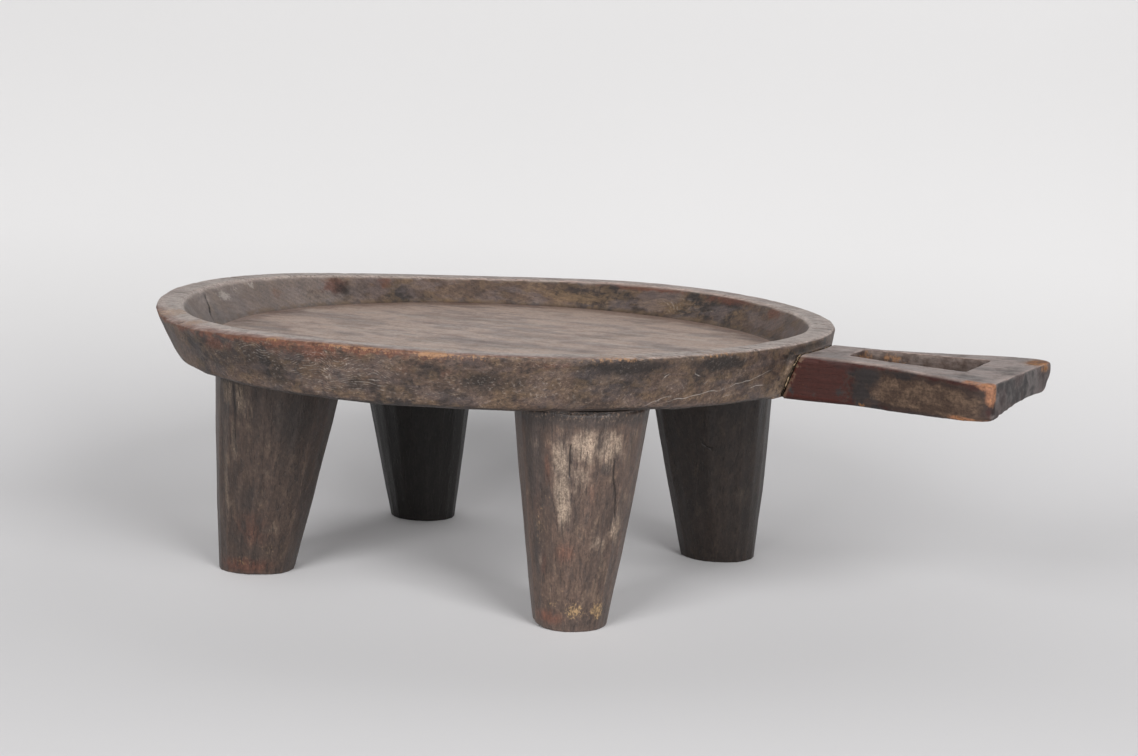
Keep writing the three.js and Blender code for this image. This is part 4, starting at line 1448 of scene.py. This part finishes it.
def leg_finish(name, wood):
    """Smoked wood with upright grain; the front leg has the palest bloom."""
    f = Finish("leg_wood_" + name)
    low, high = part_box("leg_" + name)
    pith = ((low.x + high.x) / 2 / MM + 9, (low.y + high.y) / 2 / MM + 5, 0)
    rings, fibres, pores = grain(f, UPRIGHT, pith, spacing=2.8, wander=3.0)
    shift = 11.0 * LEG_NAMES.index(name)
    dark_wood_and_painted_shade = LEG_DARK_WOOD_AND_PAINTED_SHADE[name]
    broad = f.noise((20, 20, 46), detail=4.0, shift=shift)
    patchy, mottle, speck = f.patterns((7, 7, 14), (2.8, 2.8, 5), (1.5, 1.5, 2.0), shift)
    streak = f.noise((2.6, 2.6, 46), detail=4.0, roughness=0.6, shift=shift + 8)
    grit = f.noise((0.9, 0.9, 1.1), detail=2.0, roughness=0.7, shift=shift + 9.6)
    lines = f.span(f.noise((1.5, 1.5, 60), detail=2.0, shift=shift + 6.4), 0.42, 0.35)
    reach = f.linear(streak, 0.9, f.sum("SUBTRACT", f["beige"], 0.45))
    bloom = f.patch(reach, patchy, 0.15, 0.8, 1.5)
    dusted = f.times(bloom, f.span(grit, 0.34, 0.64, 0.4, 1.0))
    dusted = f.times(dusted, f.span(mottle, 0.38, 0.56, 0.5, 1.0))
    crumbs = f.times(f.span(f["head"], 0.75, 1.0), f.span(speck, 0.54, 0.62))
    coat = f.coats(
        wood.brown,
        (wood.dark, f.span(broad, 0.42, 0.58), 0.35),
        (wood.dark, f.span(patchy, 0.48, 0.38), 0.45),
        (wood.tan, f.span(patchy, 0.53, 0.63), 0.45),
        (wood.red, f.patch(f["rust"], patchy, 0.2, 0.95, 1.2), 0.62),
        (wood.ochre, f.patch(f["ochre"], speck, 0.36, 0.95, 2.6), 0.7),
        (wood.dark, f.patch(f["dark"], patchy, 0.35, 0.85, 1.6), 0.8),
        (wood.beige, dusted, 0.84),
        # painted shade under the dish, with the dark joint line at the top
        (wood.dark, f.patch(f["head"], patchy, 0.3, 0.8, 1.6), 0.8),
        (wood.tan, crumbs, 0.8),
        (wood.dark, f.span(streak, 0.47, 0.35), 0.4),
        (wood.dark, lines, 0.5),
        # painted shade on the legs at the back, darker wood on the left leg
        (wood.dark_wood_and_painted_shade, min(1.0, dark_wood_and_painted_shade * 0.8)),
    )
    coat = f.shades(
        coat,
        (rings, 0.0, 1.0, 0.93, 1.04),
        (fibres, 0.3, 0.7, 0.85, 1.13),
        (speck, 0.32, 0.68, 0.79, 1.2),
        # painted shade in the hollows and painted highlight on the edges
        (f["crest_painted_shade_and_highlight"], -0.5, 0.35, 0.55, 1.2),
    )
    coat = f.shade(coat, f.linear(pores, -0.3, 1.0))
    gap = f.sum("ABSOLUTE", f["crack_side"])
    split = f.times(f.span(gap, 0.5, 0.15), f.span(f["crack_near"], 0.12, 0.4))
    coat = f.mix(coat, f.shade(wood.dark, 0.4), split, 0.75)
    gloss = f.span(bloom, 0.0, 1.0, 0.44, 0.72)
    relief = f.relief((speck, 0.5), (fibres, 0.5), (lines, -0.8), (split, -1.5))
    specular = 0.5 - 0.16 * dark_wood_and_painted_shade
    return f.done(coat, gloss, specular, Normal=f.bump(relief, 0.35, 0.8))


class TRAY_OT_legs(bpy.types.Operator):
    """Carve the four legs, with their tenons and saw cuts"""

    bl_idname = "tray.legs"
    bl_label = "Legs"

    def execute(self, context):
        settings, joints = context.scene.tray_legs, context.scene.tray_joints
        gap = joints.clearance * MM
        for name in LEG_NAMES:
            rings, bottom, top = leg_rings(name, joints)
            piece = ring_mesh(f"leg_{name}_carved", rings, bottom, top)
            carve_leg(piece.data, name, settings)
            low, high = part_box("wedge_" + name)
            high += Vector((gap, gap, CUTTER_CLEAR))
            cut_away(piece, [(block, low - Vector((gap, gap, gap)), high)])
            leg_fields(piece.data, name)
            finish_piece(piece, leg_finish(name, settings), "leg_wood", "leg_" + name)
        return {"FINISHED"}


# The seam's filler, the pegs and the wedges


def filler_finish(joints):
    """Pale crumbs, with black painted shade in the gaps where the bed has broken away."""
    f = Finish("filler")
    speck = f.noise(1.3, detail=4.0, roughness=0.7)
    lump = f.noise(3.2, detail=4.0, roughness=0.65, shift=3.0)
    # Painted shade: the broken places are coloured near black
    broken = f.span(lump, 0.43, 0.51)
    coat = f.coats(
        f.shade(joints.filler, 0.45),
        (joints.filler, f.span(speck, 0.4, 0.56)),
        (f.shade(joints.filler, 0.03), broken, 0.95),
    )
    gloss = f.span(speck, 0.3, 0.7, 0.8, 0.95)
    relief = f.linear(broken, -0.8, speck)
    return f.done(coat, gloss, 0.2, Normal=f.bump(relief, 0.5, 0.9))


def peg_finish(joints):
    """Raw split wood with upright grain."""
    f = Finish("peg_wood")
    rings, fibres, pores = grain(f, UPRIGHT, (134, 3, 0), spacing=1.3, wander=1.0)
    coat = f.shades(
        joints.peg_wood, (rings, 0.0, 1.0, 0.7, 1.1), (fibres, 0.25, 0.75, 0.7, 1.15)
    )
    coat = f.shade(coat, f.sum("SUBTRACT", 1.0, f.times(pores, 0.4)))
    gloss = f.span(fibres, 0.3, 0.7, 0.55, 0.8)
    return f.done(coat, gloss, 0.5, Normal=f.bump(fibres, 0.3, 0.6))


def crumble(mesh):
    """Breaks back the filler's bed along the open edges of its seam, and roughens it."""
    places, normals = read(mesh), read(mesh, "normal")
    y, z = places[:, 1], places[:, 2]
    rim = ease(np.abs(y), 22, 26.5) + ease(z, HANDLE_TOP - 4, HANDLE_TOP - 0.5)
    rim += ease(z, UNDERSIDE + 3, UNDERSIDE + 0.5)
    middle = (0, 0, (UNDERSIDE + HANDLE_TOP) / 2)
    inwards = middle - places
    inwards[:, 0] = 0
    inwards /= np.maximum(np.linalg.norm(inwards, axis=1, keepdims=True), 1)
    sunk = np.clip(rim, 0, 1) * (0.2 + 1.5 * ease(layers(places, (3, 4, 4), 71), -0.3, 0.6))
    rise = 0.12 * layers(places, (2, 2, 2), 75) - 0.08
    write(mesh, places + inwards * sunk[:, None] + normals * rise[:, None])


class TRAY_OT_joinery(bpy.types.Operator):
    """Work the crumbly filler, and finish the pegs and wedges"""

    bl_idname = "tray.joinery"
    bl_label = "Filler, pegs and wedges"

    def execute(self, context):
        joints = context.scene.tray_joints
        piece = remeshed("handle_seam_filler", "handle_seam_filler_crumbled", 0.4)
        relax(piece.data, 2)
        crumble(piece.data)
        finish_piece(piece, filler_finish(joints), "filler", "handle_seam_filler")
        wood = peg_finish(joints)
        wedges = ("wedge_" + leg for leg in LEG_NAMES)
        for name in ("handle_peg_front", "handle_peg_back", *wedges):
            node = frame["nodes"][name]
            node.data.materials.clear()
            node.data.materials.append(wood)
        return {"FINISHED"}


# The stage


def stand(thing, place, rotation):
    """Stands a camera or a lamp at a place with this rotation."""
    thing.rotation_mode = "QUATERNION"
    thing.location = place
    thing.rotation_quaternion = rotation


class TRAY_OT_stage(bpy.types.Operator):
    """Set the camera, the lamps, and the seamless floor and backdrop"""

    bl_idname = "tray.stage"
    bl_label = "Stage"

    def execute(self, context):
        scene = context.scene
        stage = scene.tray_stage
        place, aim = Vector(stage.camera_place), Vector(stage.camera_aim)
        scene.camera = self.camera(stage, place, aim)
        ahead = (aim - place) * Vector((1, 1, 0))
        ahead.normalize()
        right = Vector((ahead.y, -ahead.x, 0))
        paper = self.sheet(ahead, right)
        paper.data.materials.append(self.paper(stage, ahead))
        middle = Vector((0, 0, 0.1))
        up = Vector((0, 0, 1))
        for name, power, aside, back in (
            ("left_lamp", stage.left_power, -1.1, -2.3),
            ("right_lamp", stage.right_power, 1.1, -2.1),
        ):
            place = middle + aside * right + back * ahead + up
            self.lamp(stage, name, place, middle, power)
        scene.world = self.room(stage)
        scene.view_settings.view_transform = "Standard"
        return {"FINISHED"}

    def camera(self, stage, place, aim):
        lens = bpy.data.cameras.new("camera")
        lens.sensor_width = 36
        lens.lens = stage.lens
        lens.clip_start, lens.clip_end = 0.05, 30
        camera = show("camera", lens)
        level = (aim - place).to_track_quat("-Z", "Y").to_matrix()
        rolled = level @ Matrix.Rotation(stage.camera_roll, 3, "Z")
        stand(camera, place, rolled.to_quaternion())
        return camera

    def lamp(self, stage, name, place, aim, power):
        light = bpy.data.lights.new(name, "AREA")
        light.shape = "RECTANGLE"
        light.size, light.size_y = stage.lamp_width, stage.lamp_height
        light.energy = power
        stand(show(name, light), place, (aim - place).to_track_quat("-Z", "Y"))

    def room(self, stage):
        """Even light from all round, which shows pale where the camera looks past the paper."""
        world = bpy.data.worlds.new("room")
        world.use_nodes = True
        tree = world.node_tree
        light = tree.nodes["Background"]
        light.inputs["Color"].default_value = (1, 1, 1, 1)
        light.inputs["Strength"].default_value = stage.sky
        seen = tree.nodes.new("ShaderNodeBackground")
        seen.inputs["Color"].default_value = (*stage.paper, 1)
        path = tree.nodes.new("ShaderNodeLightPath")
        either = tree.nodes.new("ShaderNodeMixShader")
        tree.links.new(path.outputs["Is Camera Ray"], either.inputs[0])
        tree.links.new(light.outputs[0], either.inputs[1])
        tree.links.new(seen.outputs[0], either.inputs[2])
        tree.links.new(either.outputs[0], tree.nodes["World Output"].inputs["Surface"])
        return world

    def sheet(self, ahead, right):
        """One sheet of paper: a level floor that sweeps up into a wall behind."""
        near, bend, radius, wall, half = -6.0, 0.2, 0.6, 2.8, 6.0
        steps, wall_steps, columns = 24, 6, 17
        profile = [(near + (bend - near) * k / steps, 0.0) for k in range(steps + 1)]
        for k in range(1, steps + 1):
            slope = math.pi / 2 * k / steps
            profile.append((bend + radius * math.sin(slope), radius * (1 - math.cos(slope))))
        for k in range(1, wall_steps + 1):
            profile.append((bend + radius, radius + wall * k / wall_steps))
        points = []
        for far, high in profile:
            for k in range(columns):
                place = ahead * far + right * half * (2 * k / (columns - 1) - 1)
                points.append((place.x, place.y, high))
        sheet = mesh_piece("paper", points, list(grid_faces(len(profile), columns, False)))
        smooth_shade(sheet.data)
        return sheet

    def paper(self, stage, ahead):
        """Paper that the camera sees from its front only.

        It has painted shade up the wall and far in front, painted light behind and under the tray.
        """
        f = Finish("paper")
        height = f.node("SeparateXYZ", {0: f.places}).outputs[2]
        gone = f.vector("DOT_PRODUCT", f.places, tuple(ahead))
        under_dish = (-63, 0, 0)
        beneath = f.vector("LENGTH", f.vector("SUBTRACT", f.places, under_dish))
        tint = f.shades(
            f.mix(stage.paper, stage.wall, f.span(height, 0.0, 100.0)),
            # painted shade: greyer up the wall
            (height, 100.0, 340.0, 0.99, 0.9),
            (f.noise(500, detail=2.0), 0.3, 0.7, 0.98, 1.0),
            # painted shade far in front, where the lamps light the paper most
            (gone, -450.0, -1700.0, 1.0, 0.25),
            # painted light behind the tray
            (gone, -260.0, 60.0, 1.0, 1.1),
            # painted light under the tray, which lightens its cast shadow
            (beneath, 290.0, 60.0, 1.0, 1.26),
        )
        f.done(tint, 0.85, 0.2)
        back = f.node("NewGeometry").outputs["Backfacing"]
        hidden = f.times(back, f.node("LightPath").outputs["Is Camera Ray"])
        clear = f.node("BsdfTransparent").outputs[0]
        either = f.node("MixShader", {0: hidden, 1: f.shader.outputs[0], 2: clear})
        f.feed(f.tree.nodes["Material Output"], {"Surface": either.outputs[0]})
        return f.material


class TRAY_PT_pieces(bpy.types.Panel):
    """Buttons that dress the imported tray"""

    bl_idname = "TRAY_PT_pieces"
    bl_label = "Carved Tray"
    bl_space_type = "VIEW_3D"
    bl_region_type = "UI"
    bl_category = "Tray"

    def draw(self, context):
        scene = context.scene
        for operator, group in BUTTONS:
            box = self.layout.box()
            box.operator(operator)
            settings = getattr(scene, group)
            for name in settings.bl_rna.properties.keys():
                if name not in ("rna_type", "name"):
                    box.prop(settings, name)


BUTTONS = (
    ("tray.stage", "tray_stage"),
    ("tray.dish", "tray_dish"),
    ("tray.handle", "tray_handle"),
    ("tray.legs", "tray_legs"),
    ("tray.joinery", "tray_joints"),
)
GROUPS = {
    "tray_stage": StageSettings,
    "tray_dish": DishSettings,
    "tray_handle": HandleSettings,
    "tray_legs": LegSettings,
    "tray_joints": JoineryDetails,
}
CLASSES = (
    *GROUPS.values(),
    TRAY_OT_stage, TRAY_OT_dish, TRAY_OT_handle, TRAY_OT_legs, TRAY_OT_joinery,
    TRAY_PT_pieces,
)


def register():
    for cls in CLASSES:
        bpy.utils.register_class(cls)
    for name, group in GROUPS.items():
        setattr(bpy.types.Scene, name, PointerProperty(type=group))


def unregister():
    for name in GROUPS:
        delattr(bpy.types.Scene, name)
    for cls in reversed(CLASSES):
        bpy.utils.unregister_class(cls)


def main():
    register()
    bpy.ops.tray.stage()
    bpy.ops.tray.dish()
    bpy.ops.tray.handle()
    bpy.ops.tray.legs()
    bpy.ops.tray.joinery()


if __name__ == "__main__":
    main()
